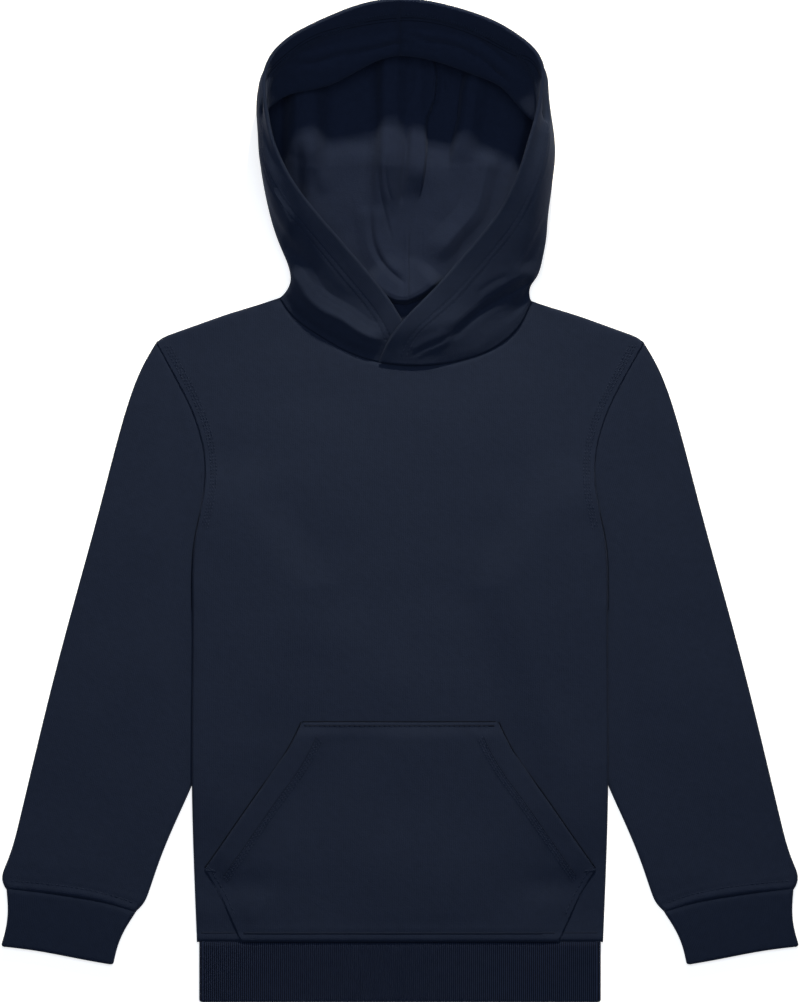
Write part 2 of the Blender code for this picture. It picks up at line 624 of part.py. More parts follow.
def build_hood(side, sign, lines, material, collection):
    """One half of the hood, from the rim over the outside to the seam at the back.

    Past the top its sections go on mirrored, so that it meets the other half smoothly.
    """
    sections = hood_sections(lines)
    mirrored = sections[-2:-5:-1] * (-1, 1, 1)
    reach = np.concatenate((SECTION_PLACES, 2.0 - np.array(SECTION_PLACES[-2:-5:-1])))
    by_section = spline(reach, np.concatenate((sections, mirrored)), HOOD_ROWS)
    knots = list(HOOD_PLACES.values())
    places = np.concatenate([np.linspace(a, b, cells, endpoint=False) for a, b, cells in
                             zip(knots[:-1], knots[1:], HOOD_CELLS)] + [[1.0]])
    grid = spline(knots, by_section.transpose(1, 0, 2), places).transpose(1, 0, 2)
    ease = np.clip(1.0 - np.array(HOOD_ROWS) / NECK_EASE, 0.0, 1.0)[:, None, None] ** 2
    grid += (neck_row(sections, places, sign) - grid[:1]) * ease
    above_seam = smooth(np.array(HOOD_ROWS)[:, None] / NECK_FADE)
    on_floor = smooth((places - HOOD_PLACES["floor"]) / 0.08) * above_seam
    grid[..., 2] = np.maximum(grid[..., 2], 0.0) + standing_folds(grid) * on_floor
    if sign > 0:
        grid = grid[:, ::-1]
    inward = -face_normals(grid)
    spine = 0 if sign > 0 else -1
    for border in (inward[-1], inward[:, spine]):
        border[:, 0] = 0.0
        border /= np.linalg.norm(border, axis=1, keepdims=True)
    from_rim = grid[:, ::-sign]
    run = np.cumsum(np.linalg.norm(np.diff(from_rim, axis=1), axis=2), axis=1)
    run = np.hstack((0.0 * run[:, :1], run))[:, ::-sign]
    wall = CLOTH + HEM_CLOTH * smooth((HEM_WIDTH - run) / HEM_STEP) * above_seam
    shift = (SEAM_GAP / 2.0 * sign, 0.0, 0.0)
    put_slab("hood_" + side, grid + shift, grid + inward * wall[..., None] + shift,
             material, collection)


def build_hoodie():
    """Build every piece into a collection of its own."""
    for thing in list(bpy.data.objects):
        bpy.data.objects.remove(thing, do_unlink=True)
    collection = bpy.data.collections.new("toddler_hoodie")
    bpy.context.scene.collection.children.link(collection)
    build_front(make_material("front_fleece", FLEECE), collection)
    build_back(make_material("back_fleece", FLEECE), collection)
    build_pocket(make_material("pocket_fleece", FLEECE), collection)
    build_waistband(make_material("waistband_rib", RIB), collection)
    for side, sign, lines in (("left", -1, LEFT_HOOD), ("right", 1, RIGHT_HOOD)):
        build_sleeve(side, sign, make_material("sleeve_fleece_" + side, FLEECE), collection)
        build_cuff(side, sign, make_material("cuff_rib_" + side, RIB), collection)
        build_hood(side, sign, lines, make_material("hood_fleece_" + side, FLEECE), collection)


build_hoodie()
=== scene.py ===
"""Dresses the frame of a toddler's hoodie that lies flat, with its hood standing open.

Lengths are in millimetres until a mesh is made. Each panel is a shell of cloth with an
outer and an inner face on the form of its solid. Left and right are the viewer's.
"""

import bpy
import numpy as np
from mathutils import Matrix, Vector
from mathutils.bvhtree import BVHTree


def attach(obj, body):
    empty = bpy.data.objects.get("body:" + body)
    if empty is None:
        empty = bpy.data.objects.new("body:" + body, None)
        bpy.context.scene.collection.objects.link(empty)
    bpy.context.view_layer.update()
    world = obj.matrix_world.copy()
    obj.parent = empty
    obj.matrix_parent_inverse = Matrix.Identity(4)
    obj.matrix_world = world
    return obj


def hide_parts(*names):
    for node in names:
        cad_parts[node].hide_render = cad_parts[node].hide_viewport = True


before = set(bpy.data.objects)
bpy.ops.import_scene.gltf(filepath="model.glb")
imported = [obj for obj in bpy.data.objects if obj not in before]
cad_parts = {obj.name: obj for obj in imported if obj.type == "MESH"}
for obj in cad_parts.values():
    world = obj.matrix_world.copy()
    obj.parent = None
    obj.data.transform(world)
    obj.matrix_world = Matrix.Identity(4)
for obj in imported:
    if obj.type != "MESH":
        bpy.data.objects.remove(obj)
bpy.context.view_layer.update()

# ---------------------------------------------------------------- sizes
MILLIMETRE = 0.001
CLOTH_UNIT = 0.01  # cloth coordinates are in tenths of a metre
LENGTH = 601.2
SPAN = 480.0
RIB_HEIGHT = 36.0
WAIST_SEAM = RIB_HEIGHT - LENGTH / 2
WAIST_HALF = 120.7
CLOTH = 1.5  # thickness of the fleece
BAND = 2.3  # thickness of one layer of a rib band
REST_GAP = 0.6  # between the layers of a piece
SEAM_GAP = 0.2  # between two pieces at their seam
LAYERS = 2 * CLOTH + REST_GAP
LIFT = LAYERS + 0.4  # rise of the body over the sleeves
RIB_PITCH = 1.23
RIB_CELLS = 4  # to a rib
ROLL = 1.6  # width of the body's rolled edge
ROLL_CLEARANCE = 0.6
EDGE_STEPS = 3  # lines round the cloth's edge
POCKET_GAP = 0.9
PUFF, PUFF_REACH = 0.95, 12.0  # rise of the cloth beside a rib band
NECK_SHARE = 0.56  # of a panel's half width that the neckline's columns take up
CUFF_BEND = 2.2
SLEEVE_CROWN = 1.4
HOOD_HEM = 16.5
HOOD_ROWS = 176
HALVES_GAP = -0.3
STITCH_ROWS = np.array((10.6, 14.0))  # from the hood's rim
ARMHOLE_ROWS = (2.6, 4.2, 5.8)
POCKET_ROWS = (11.8, 13.2, 14.6)  # from the pocket's mouth
WAIST_STITCH = WAIST_SEAM + 5.6
CUFF_STITCH = 5.8
SHOULDER_RISE = 1.4
FILL_END = 40.0  # y below which the body's columns run evenly

# Lines in plan, as x and y
UNDERARM = (86, -50)
SIDE_LINE = (
    (146.1, 96.6), (134.1, 75), (123.3, 52.8), (117.3, 31.8), (117, 6), (122.7, -20.4),
    (124.8, -60), (125.1, -170.4), (122.1, WAIST_SEAM + SEAM_GAP))
NECK_LINE = (
    (-72.6, 122.8), (-65.8, 113), (-48.3, 99.8), (-30.3, 89.7), (-0.3, 82.4), (21.9, 82.6),
    (51.9, 90.2), (65.6, 98.9), (72.7, 107.2), (76.2, 114), (79.2, 120.9))
BACK_NECK = ((-72.6, 122.8), (-40, 119.8), (0, 118.6), (42, 118.6), (79.2, 120.9))
SLEEVE_OUTER = (
    (154.5, 82.2), (162.3, 63), (168.3, 43.2), (179.5, 0.6), (205.5, -95.4), (228.9, -191.4),
    (236.6, -217), (239.2, -226.5), (236.9, -232.9))
SLEEVE_INNER = (
    UNDERARM, (107, -112), (125.1, -170.4), (132.3, -186.6), (145.5, -218.4), (150.6, -233.4),
    (154, -241), (159, -246.4))
SLEEVE_HIDDEN = ((113.5, -9), (103, -31), UNDERARM)
CUFF_SEAM = ((236.5, -233.3), (220.5, -234.4), (192.3, -238), (174.3, -242), (159.3, -247.3))
CUFF_HEM = ((SPAN / 2, -267), (219.3, -269.6), (189.3, -275.2), (172.3, -278.2))
POCKET_TOP, POCKET_TIP = -132.3, -220.8
POCKET_MOUTH = ((58.4, -132.4), (66.5, -148.8), (82.6, -172), (99.4, -196), (116.7, POCKET_TIP))
POCKET_LOW = ((116.7, POCKET_TIP), (107.1, -236.4), (101, -250), (96.3, -260.4))
POCKET_SIDE = (
    (58.2, POCKET_TOP), *POCKET_MOUTH[1:], *POCKET_LOW[1:3], (97.4, -258),
    (94.5, WAIST_SEAM + SEAM_GAP))
# Painted shade: dark strips lie inside the brim along this line.
HEM_LINE = (  # the hem's stitching inside the brim
    (-82.5, 244), (-79.5, 255.6), (-69.3, 267), (-54.3, 277.5), (-37.5, 283.4), (-18.3, 287.4),
    (0, 289.5), (16, 288.8), (30.3, 285.8), (52.5, 277.2), (71, 268), (78.3, 264.9),
    (84.6, 253.8))
# The middle seam at the back of the hood wanders off the middle: x shift at each y
SEAM_WANDER = ((110, 5), (135, 6), (165, 5.8), (183.6, 11.5), (207, 15.5), (239, 19.5),
               (256, 21), (272, 12), (290, 3), (305, 0))

# The hood's sections from the neck to the crown, as x, y and z on each of its lines
SECTION_PLACES = (0, 0.05, 0.11, 0.2, 0.32, 0.45, 0.58, 0.7, 0.8, 0.88, 0.94, 1)
LEFT_HOOD = {
    "rim": (
        (11.7, 82.6, 3.5), (7, 93, 8), (1, 107, 13), (-13, 128, 18.5), (-33, 152, 28),
        (-56, 178.5, 41.5), (-72, 203, 51), (-80, 228, 54), (-82.3, 250, 55.5),
        (-72.5, 272.5, 57.5), (-45, 290, 61.5), (0, LENGTH / 2, 65)),
    "fold": (
        (-12, 85, 3.5), (-13, 94, 8), (-16, 105, 13), (-29, 121, 16.5), (-46, 144, 24.8),
        (-65, 171, 37), (-78, 199, 47), (-82.5, 226.5, 44), (-78.5, 238, 34),
        (-62, 247, 29), (-38, 254.4, 31), (0, 269.6, 35)),
    "back": (
        (-45, 98, 3.5), (-46, 108, 8), (-46, 120, 14), (-53, 133, 17), (-63, 151, 23),
        (-75, 172, 32), (-82, 199, 40), (-84.6, 226, 38.5), (-81.5, 246, 33),
        (-70, 262, 27), (-42, 274, 26), (0, 284, 26)),
    "side": (
        (-72.6, 122.8, 3), (-66.4, 128.6, 7.6), (-65.6, 136.6, 11), (-70, 148.5, 14),
        (-75.5, 163, 18), (-80, 181, 22), (-83.5, 202, 26), (-86.2, 226, 27.5),
        (-84.2, 249, 26), (-74, 268, 22), (-45, 285, 18), (0, 295, 15))}
RIGHT_HOOD = {
    "rim": (
        (-11.7, 84, 6), (-7, 94.5, 12), (1, 106.5, 17), (20, 126, 19.5), (42, 150.5, 27),
        (62, 175.5, 39.5), (75, 204, 51), (82, 228, 54), (86.6, 250, 55.5),
        (79, 273, 57.5), (47, 291, 61.5), (0, LENGTH / 2, 65)),
    "fold": (
        (14, 84, 5.4), (16, 94, 11), (20, 104, 15.8), (36, 118, 16.6), (56, 142, 23.6),
        (73, 169, 35), (84, 199, 47), (88, 226.5, 44), (78, 232, 34),
        (60.5, 252, 29), (39, 261, 31), (0, 269.6, 35)),
    "back": (
        (50, 90, 4), (52, 101, 9), (53, 113, 14), (62, 127, 17), (73, 148, 23),
        (82, 171, 32), (89.2, 200, 40), (90, 226, 38.5), (85.4, 246, 33),
        (74, 262, 27), (43, 274, 26), (0, 284, 26)),
    "side": (
        (79.2, 120.9, 3), (77, 127, 8), (80.2, 134.5, 11), (84.2, 146, 14),
        (87.2, 161, 18), (89.8, 181, 22), (93.2, 206, 26), (91.4, 228, 27.5),
        (88.4, 249, 26), (79, 268, 22), (47, 285, 18), (0, 295, 15))}
SPINE_Y = (119.1, 121.5, 125, 132, 143, 159, 179, 200, 221, 240, 256, 270)
HOOD_PLACES = {"rim": 0.0, "hem": 0.085, "fold": 0.17, "back": 0.32, "side": 0.45,
               "turn": 0.53, "floor": 0.62, "middle": 0.8, "spine": 1.0}
HOOD_CELLS = (17, 17, 24, 20, 12, 14, 34, 40)  # from each place to the next

# Relief of the hood: lines in plan, each with a cross profile of height against distance
# and options. A positive distance is to the left of the line's direction. "spread" widens
# the left side from the line's start to its end, "fade" scales the height, "ends" gives
# the share of the line over which it rises and falls.
OUTER_FOLDS = {
    -1: (
        (((-80, 142), (-64.5, 131.4), (-58.5, 122.4), (-48.3, 113.4), (-36.3, 107.4),
          (-24.3, 99.6), (-8, 94.8)),
         ((-24, 0), (-14, -1.2), (-10, -0.5), (-6.4, 1.3), (-3.8, 2.1), (-1.3, 2.6), (0, 3.2),
          (1.6, 3.9), (3.4, 3.7), (7, 1.4), (11, -0.9), (15.5, -2.4), (21, -2.2), (30, -1),
          (40, 0)),
         {"spread": (1, 0.72), "fade": (1, 0.9), "ends": (0.06, 0.14)}),
        (((-78, 190), (-72.4, 181), (-67.5, 171.6), (-65.8, 162), (-65, 152)),
         ((-8, 0), (-3, 0.8), (-0.5, 1.2), (1, 0.1), (4, -0.8), (10, 0)), {})),
    1: (
        (((24, 93), (37.5, 103.2), (45.9, 110.8), (58.5, 120), (70.5, 127.8), (80, 134.6)),
         ((-19, 0), (-14, -0.8), (-10, -2.2), (-7, -2.8), (-4, -2.8), (-1.5, -3.4),
          (-0.2, -4.6), (1.2, -3.4), (4, -0.2), (6.5, 1), (10, 1), (16, 0.3), (24, 0)),
         {"fade": (0.45, 1), "ends": (0.3, 0.08)}),
        (((6.9, 87.6), (17.7, 93.6), (26.7, 97.8), (30.5, 101.5)),
         ((-5, 0), (-2, 0.8), (-0.6, 0.2), (0, -0.5), (1, 0.4), (3, 0.9), (7, 0)), {}),
        (((45.9, 124.4), (58.3, 133), (66, 136)),
         ((-6, 0), (-3, 0.3), (0, -0.3), (2, 0.2), (4, 0.4), (8, 0)), {}),
        (((69.7, 137.6), (77.1, 153.6), (81.9, 163.2), (87.8, 175.5)),
         ((-14, 0), (-9, -1.6), (-4, -2.4), (-1.5, -1.4), (0, 0.6), (1.2, 0.2), (2, 0.6),
          (4, 0.3), (7, 0)), {"ends": (0.3, 0.2)}))}
FLOOR_FOLDS = (
    (((-55, 278), (-57.9, 250), (-57.9, 222.6), (-59.1, 201.6), (-55.5, 178)),
     ((-14, 0), (-12, 2), (-10, 9), (-8, 18), (-5, 24), (0, 26), (5, 25), (8, 22), (11, 16),
      (14, 10.5), (18, 7), (32, 6), (42, 5), (52, 0)),
     {"fade": (1, 0.3), "ends": (0.05, 0.4)}),
    (((-2, 288), (-5.1, 252), (-5.1, 219.6), (-7.5, 192.6), (-5.1, 168)),
     ((-14, 0), (-11, 2.5), (-9, 6), (-7, 13), (-4.5, 17.5), (-1, 19), (3, 18), (6, 15),
      (9, 12.5), (13, 10.5), (17, 7.5), (20, 4), (24, 0)),
     {"fade": (1, 0.4), "ends": (0.05, 0.35)}),
    (((3.6, 228), (3, 205), (1.2, 190), (-0.3, 176)),
     ((-3, 0), (-1, -0.8), (0, -2.2), (1, -1.2), (3, 0)), {}),
    (((14, 292), (19.8, 270), (22.5, 257.4), (22.5, 250.8), (20.1, 238.8), (17.1, 231),
      (16.5, 213), (15.3, 199.2), (12, 180)),
     ((-13, 0), (-9, 3), (-4, 5.5), (-1.4, 7), (-0.7, 5.5), (0, 0), (0.7, 1), (2.5, 2),
      (7, 1.2), (12, 0)), {"ends": (0.02, 0.18), "sharp": True}),
    (((38, 286), (38.7, 262), (36, 246.6), (34.5, 231), (30.9, 216), (29.7, 190)),
     ((-5, 0), (-2, 0.5), (-1, 0.4), (0, 0), (0.9, 5), (2.5, 13), (5, 16.5), (9.5, 16.5),
      (13, 14), (17, 10), (21, 7.5), (25, 6), (34, 6), (40, 8), (46, 0)),
     {"fade": (1, 0.35), "ends": (0.06, 0.4), "sharp": True}),
    (((26, 264), (27.6, 252), (28, 244)),
     ((-3, 0), (-1, 0.4), (0, -1), (1, 0.4), (3, 0)), {}),
    (((-17.1, 180.5), (-16.2, 156.6), (-11.1, 144.9), (5, 130.1)),
     ((-10, 0), (-3.5, 1.9), (-1.2, 0.7), (0, -0.3), (1.2, 1.4), (3, 2.4), (8, 1.2),
      (14, 0)), {}),
    (((-12.3, 222), (-12.3, 193.2), (-7.5, 167.4), (-4, 154)),
     ((-4, 0), (-1.5, -0.2), (0, -1.4), (1.2, 0.3), (4, 0)), {}),
    (((-49.5, 202), (-49.5, 184)),
     ((-7, 0), (-2.5, -0.7), (0.5, 0.3), (3, 1.2), (6, 0.6), (10, 0)), {"ends": (0.4, 0.4)}),
    (((60.5, 214), (54.9, 189.6), (50.1, 173.4), (36.3, 156.6), (24, 140.4)),
     ((-16, 0), (-10, 2.5), (-5, 4.5), (-1, 2.6), (2, 0.6), (5, 0), (9, 0.8), (14, 0)), {}),
    (((-24, 136), (-17.1, 129), (-11.7, 124.8), (-6.3, 121.4), (1.5, 119.6), (11.7, 122.7),
      (18.3, 127.2), (26.7, 135.6)),
     ((-2, 0), (-0.8, 0.5), (0.3, 5.5), (1.6, 8), (4, 8.3), (9, 6), (16, 2.5), (24, 0)),
     {"ends": (0.15, 0.15), "sharp": True}),
    (((5.4, 168), (5.1, 144.6), (5.1, 119)),
     ((-3, 0), (-1.8, 0.5), (-0.7, 0.5), (0, -0.5), (0.7, 0.5), (1.8, 0.5), (3, 0)),
     {"sharp": True}),
    (((13.4, 168), (13.4, 147)), ((-2, 0), (-0.8, 0.3), (0, -0.5), (0.8, 0.3), (2, 0)), {}),
    (((-33, 262), (-20, 240), (-24, 215)), ((-10, 0), (0, 1.8), (10, 0)), {}),
    (((-62, 199), (0, 200), (78, 198)),
     ((-78, 0), (-55, 1.2), (-4, 5.2), (2, 5.4), (8, 4.4), (26, 0)), {"ends": (0.05, 0.05)}),
    (((-8.7, 208), (-8.6, 195), (-5.2, 180)),
     ((-4, 0), (-1, 0.8), (0, -1.5), (1, 0.6), (4, 0)), {}))
BRIM_FOLDS = (
    (((-67, 264), (-49, 264.6), (-38, 268.4), (-22, 271), (0, 276), (8, 277)),
     ((-5, 0), (-2, -0.8), (0, -2.4), (1.2, 0.6), (3, 1.6), (7, 0)), {}),
    (((5.7, 277), (20, 276.6), (36.8, 272.4), (55.3, 262.4), (68, 250)),
     ((-6, 0), (-2, -0.8), (0, -2.2), (1.2, 0.6), (3, 1.6), (7, 0)), {}),
    (((40, 282), (56, 272), (66, 262)),
     ((-5, 0), (-2, -0.5), (0, -1.6), (2, 1.2), (5, 0)), {}),
    (((22, 268), (17, 276), (6, 281)),
     ((-4, 0), (-1, 0.5), (0, -1.8), (2, 1.2), (5, 0)), {}))

# ---------------------------------------------------------------- curves and surfaces


def smooth(value):
    """Go from 0 to 1 with level ends."""
    value = np.clip(value, 0.0, 1.0)
    return value * value * (3.0 - 2.0 * value)


def bell(distance, width):
    """A bump of height 1 about distance 0."""
    return np.exp(-(distance / width) ** 2)


def evenly(count):
    return np.linspace(0.0, 1.0, count)


def unit(vectors):
    return vectors / (np.linalg.norm(vectors, axis=-1, keepdims=True) + 1e-12)


def run_along(line):
    """Length of a line as far as each of its points."""
    steps = np.linalg.norm(np.diff(np.asarray(line, float), axis=0), axis=1)
    return np.concatenate(([0.0], np.cumsum(steps)))


def read(line, run, places):
    """Points at places along a line whose points lie at the lengths in run."""
    return np.stack([np.interp(places, run, column) for column in line.T], axis=-1)


def spline(knots, values, places):
    """Read a natural cubic spline through the values at the knots."""
    knots, values, places = (np.asarray(each, float) for each in (knots, values, places))
    count = len(knots)
    shape = (-1,) + (1,) * (values.ndim - 1)
    step = np.diff(knots)
    slopes = np.diff(values, axis=0) / step.reshape(shape)
    matrix = np.eye(count)
    right = np.zeros_like(values)
    for row in range(1, count - 1):
        matrix[row, row - 1:row + 2] = (step[row - 1], 2 * (step[row - 1] + step[row]), step[row])
        right[row] = 6 * (slopes[row] - slopes[row - 1])
    bend = np.linalg.solve(matrix, right.reshape(count, -1)).reshape(values.shape)
    cell = np.clip(np.searchsorted(knots, places, side="right") - 1, 0, count - 2)
    width = step[cell].reshape(shape)
    after = (places - knots[cell]).reshape(shape) / width
    before = 1.0 - after
    sag = (before ** 3 - before) * bend[cell] + (after ** 3 - after) * bend[cell + 1]
    return before * values[cell] + after * values[cell + 1] + sag * width ** 2 / 6.0


def line_through(points, places):
    """Read a smooth line through points at shares of its length."""
    run = run_along(points)
    return spline(run / run[-1], points, places)


def fill(top, bottom, left, right, reach=1.0):
    """Fill four border lines with a grid, each side's bow reaching so far across it."""
    across = evenly(len(top))[None, :, None]
    down = evenly(len(left))[:, None, None]
    grid = (1 - down) * top[None] + down * bottom[None]
    for line, away in ((left, across), (right, 1.0 - across)):
        bow = line[:, None] - (1 - down) * line[0] - down * line[-1]
        grid += bow * np.clip(1.0 - away / reach, 0.0, 1.0)
    return grid


def normals_of(line):
    """Unit normals in plan of a line, pointing to its left."""
    along = unit(np.gradient(line, axis=0))
    return np.stack((-along[:, 1], along[:, 0]), axis=1)


def signed_distance(points, line):
    """Distance in plan from a line, positive to its left, and the share along it."""
    fine = line_through(line, evenly(60))
    flat = points[..., :2].reshape(-1, 2)
    best = np.full(len(flat), 1e9)
    signed, share = np.zeros((2, len(flat)))
    for number, (a, b) in enumerate(zip(fine[:-1], fine[1:])):
        along = b - a
        place = np.clip(((flat - a) @ along) / (along @ along), 0.0, 1.0)
        away = flat - a - place[:, None] * along
        gap = np.hypot(away[:, 0], away[:, 1])
        closer = gap < best
        best[closer] = gap[closer]
        side = along[0] * away[closer, 1] - along[1] * away[closer, 0]
        signed[closer] = np.sign(side) * gap[closer]
        share[closer] = (number + place[closer]) / (len(fine) - 1)
    return signed.reshape(points.shape[:-1]), share.reshape(points.shape[:-1])


def relief(points, folds):
    """Height that a list of folds adds at points in plan."""
    height = np.zeros(points.shape[:-1])
    for line, profile, options in folds:
        signed, share = signed_distance(points, line)
        distances, heights = zip(*profile)
        fine = np.arange(distances[0] - 2.0, distances[-1] + 2.0, 0.1)
        kernel = np.hanning(7 if options.get("sharp") else 17)
        soft = np.convolve(np.interp(fine, distances, heights), kernel / kernel.sum(), "same")
        first, last = options.get("spread", (1, 1))
        signed = np.where(signed > 0.0, signed / (first + (last - first) * share), signed)
        first, last = options.get("fade", (1, 1))
        start, end = options.get("ends", (0.18, 0.18))
        kept = smooth(share / start) * smooth((1.0 - share) / end)
        kept *= first + (last - first) * share
        height += np.interp(signed, fine, soft, left=0.0, right=0.0) * kept
    return height


def waves(points, seed, length, height, count=9):
    """Soft uneven waves of about the given length."""
    random = np.random.default_rng(seed)
    total = np.zeros(points.shape[:-1])
    for _ in range(count):
        direction = random.normal(size=points.shape[-1])
        direction /= np.linalg.norm(direction)
        pitch = length * random.uniform(0.7, 1.6)
        total += np.sin(points @ direction * 2.0 * np.pi / pitch + random.uniform(0.0, 6.28))
    return total * height / np.sqrt(count / 2.0)


def lift(x, y):
    """Rise of the body over the sleeves, whose underarm edges run under it."""
    hidden_edge = np.where(
        y > UNDERARM[1],
        np.interp(y, (UNDERARM[1], 0.0), (UNDERARM[0], 117.0)),
        np.interp(-y, (-UNDERARM[1], 170.4), (UNDERARM[0], 125.1)))
    across = smooth((np.abs(x) - hidden_edge + 52.0) / 34.0)
    along = smooth((34.0 - y) / 40.0) * smooth((y + 236.0) / 66.0)
    return LIFT * across * along


def puff(distance):
    """Rise of the cloth beside a rib band, by the distance from the seam."""
    return PUFF * smooth(1.0 - distance / PUFF_REACH)


def face_normals(grid):
    """Unit normals at the points of a grid, averaged from the cells round each one."""
    cell = np.cross(grid[1:, 1:] - grid[:-1, :-1], grid[:-1, 1:] - grid[1:, :-1])
    normal = np.zeros_like(grid)
    for down in (slice(None, -1), slice(1, None)):
        for across in (slice(None, -1), slice(1, None)):
            normal[down, across] += cell
    return unit(normal)


# ---------------------------------------------------------------- materials


def feed(tree, target, sockets):
    """Give a node's sockets their values, or the outputs that lead into them."""
    for key, value in sockets.items():
        if isinstance(value, bpy.types.NodeSocket):
            tree.links.new(value, target.inputs[key])
        else:
            target.inputs[key].default_value = value


def new_material(name, sockets):
    material = bpy.data.materials.new(name)
    material.use_nodes = True
    shader = material.node_tree.nodes["Principled BSDF"]
    feed(material.node_tree, shader, sockets)
    return material, shader


def make_cloth(name, colour, knit, fuzz, mottle, sheen, wale=1.1, course=0.9, spread=0.16,
               groove_shade=0.0, drift=1.2):
    """Knitted cloth: wales and courses, a fuzzy nap, slight unevenness of colour, and painted
    shade along the grooves between the wales.
    """
    material, shader = new_material(name, {
        "Roughness": 0.92, "Specular IOR Level": 0.06, "Sheen Weight": sheen,
        "Sheen Roughness": 0.45, "Sheen Tint": (0.35, 0.45, 0.75, 1.0)})
    tree = material.node_tree

    def add(kind, sockets, **settings):
        made = tree.nodes.new("ShaderNode" + kind)
        for key, value in settings.items():
            setattr(made, key, value)
        feed(tree, made, sockets)
        return made

    def math(operation, *terms):
        return add("Math", dict(enumerate(terms)), operation=operation).outputs[0]

    def weigh(*terms):
        """Sum of outputs, each with its weight."""
        total = None
        for value, weight in terms:
            part = math("MULTIPLY", value, weight)
            total = part if total is None else math("ADD", total, part)
        return total

    def noise(scale, detail, roughness=0.5):
        return add("TexNoise", {"Vector": place, "Scale": scale, "Detail": detail,
                                "Roughness": roughness}).outputs["Fac"]

    whole_turn = 6.28318
    place = add("TexCoord", {}).outputs["Object"]
    uv = add("SeparateXYZ", {0: add("UVMap", {}, uv_map="cloth").outputs["UV"]}).outputs
    x = math("ADD", weigh((uv["X"], 1.0 / CLOTH_UNIT / wale), (noise(160.0, 2.0), drift)), 0.25)
    y = math("MULTIPLY", uv["Y"], 1.0 / CLOTH_UNIT / course)
    column = math("SINE", math("MULTIPLY", x, whole_turn))
    row = math("SINE", weigh((y, whole_turn), (math("ABSOLUTE", column), 1.6)))
    nap = noise(1500.0, 3.0, 0.7)
    patch = noise(240.0, 4.0, 0.6)
    # The colour darkens along the knit's grooves, column by column: painted shade, strongest on
    # the waistband's rib.
    ramp = add("ValToRGB", {"Fac": weigh((nap, 0.55), (patch, 0.45), (column, groove_shade))})
    for element, position, sign in zip(ramp.color_ramp.elements, (0.3, 0.7), (-1, 1)):
        element.position = position
        element.color = (*(value * (1.0 + sign * spread) for value in colour), 1.0)
    stitches = weigh((column, 0.8), (row, 0.2))
    height = weigh((stitches, knit), (nap, fuzz), (patch, mottle))
    bump = add("Bump", {"Strength": 0.8, "Distance": 0.001, "Height": height})
    feed(tree, shader, {"Base Color": ramp.outputs["Color"], "Normal": bump.outputs["Normal"]})
    return material


NAVY = (0.0090, 0.0137, 0.0290)
FLEECE = make_cloth("fleece", NAVY, 0.03, 0.20, 0.30, 0.05, groove_shade=0.01)
BRUSHED = make_cloth("brushed_inside", (0.0082, 0.0127, 0.0288), 0.0, 0.35, 0.40, 0.06)
# Rib knit is darker than the fleece; the darkening stands in part for the shade in the ribs'
# grooves, as painted shade.
RIB = make_cloth("rib", (0.0066, 0.0104, 0.0243), 0.0, 0.16, 0.15, 0.04, wale=RIB_PITCH,
                 spread=0.65, groove_shade=0.4, drift=0.0)
CUFF_RIB = make_cloth("cuff_rib", (0.0067, 0.0109, 0.0246), 0.0, 0.16, 0.15, 0.04,
                      wale=RIB_PITCH)
# Painted shade: the fleece's colour at 0.4 and 0.76 of its brightness, for dark strips laid where
# a seam's or a needle line's groove is in shade.
SEAM_SHADE, SOFT_SEAM_SHADE = (
    make_cloth(name, [share * value for value in NAVY], 0.0, 0.0, 0.0, 0.0, spread=0.05)
    for name, share in (("painted_seam_shade", 0.4), ("painted_soft_shade", 0.76)))
THREAD = make_cloth("thread", [1.14 * value for value in NAVY], 0.03, 0.05, 0.0, 0.05,
                    wale=0.3, course=0.3, groove_shade=0.03)

# ---------------------------------------------------------------- meshes


def put_mesh(name, points, faces, cloth, materials, replaced=None, kinds=None):
    """Make one piece from points in millimetres, with its cloth coordinates in them too.

    It rides on the body. "replaced" names the solid that it stands for, and "kinds" says
    which material each face has.
    """
    mesh = bpy.data.meshes.new(name)
    mesh.from_pydata((np.asarray(points) * MILLIMETRE).tolist(), [], faces)
    for material in materials:
        mesh.materials.append(material)
    if kinds is not None:
        mesh.polygons.foreach_set("material_index", kinds)
    layer = mesh.uv_layers.new(name="cloth")
    corner = np.empty(len(mesh.loops), np.int32)
    mesh.loops.foreach_get("vertex_index", corner)
    layer.data.foreach_set("uv", (np.asarray(cloth) * CLOTH_UNIT)[corner].ravel())
    mesh.update()
    mesh.shade_smooth()
    thing = bpy.data.objects.new(name, mesh)
    bpy.context.scene.collection.objects.link(thing)
    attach(thing, "root")
    if replaced:
        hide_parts(replaced)
    return thing


def number_grid(grid):
    return np.arange(grid[..., 0].size).reshape(grid.shape[:2])


def cells(index):
    """The corners of each cell of a grid of point numbers."""
    corners = (index[:-1, :-1], index[1:, :-1], index[1:, 1:], index[:-1, 1:])
    return np.stack(corners, axis=2).reshape(-1, 4)


def edge_ring(outer, inner, outward):
    """Lines that round an edge of the cloth from its outer to its inner face."""
    middle, half = (outer + inner) / 2.0, (outer - inner) / 2.0
    radius = np.linalg.norm(half, axis=1, keepdims=True)
    angles = np.pi * np.arange(1, EDGE_STEPS + 1) / (EDGE_STEPS + 1)
    return np.stack([middle + half * np.cos(angle) + outward * radius * np.sin(angle)
                     for angle in angles], axis=1)


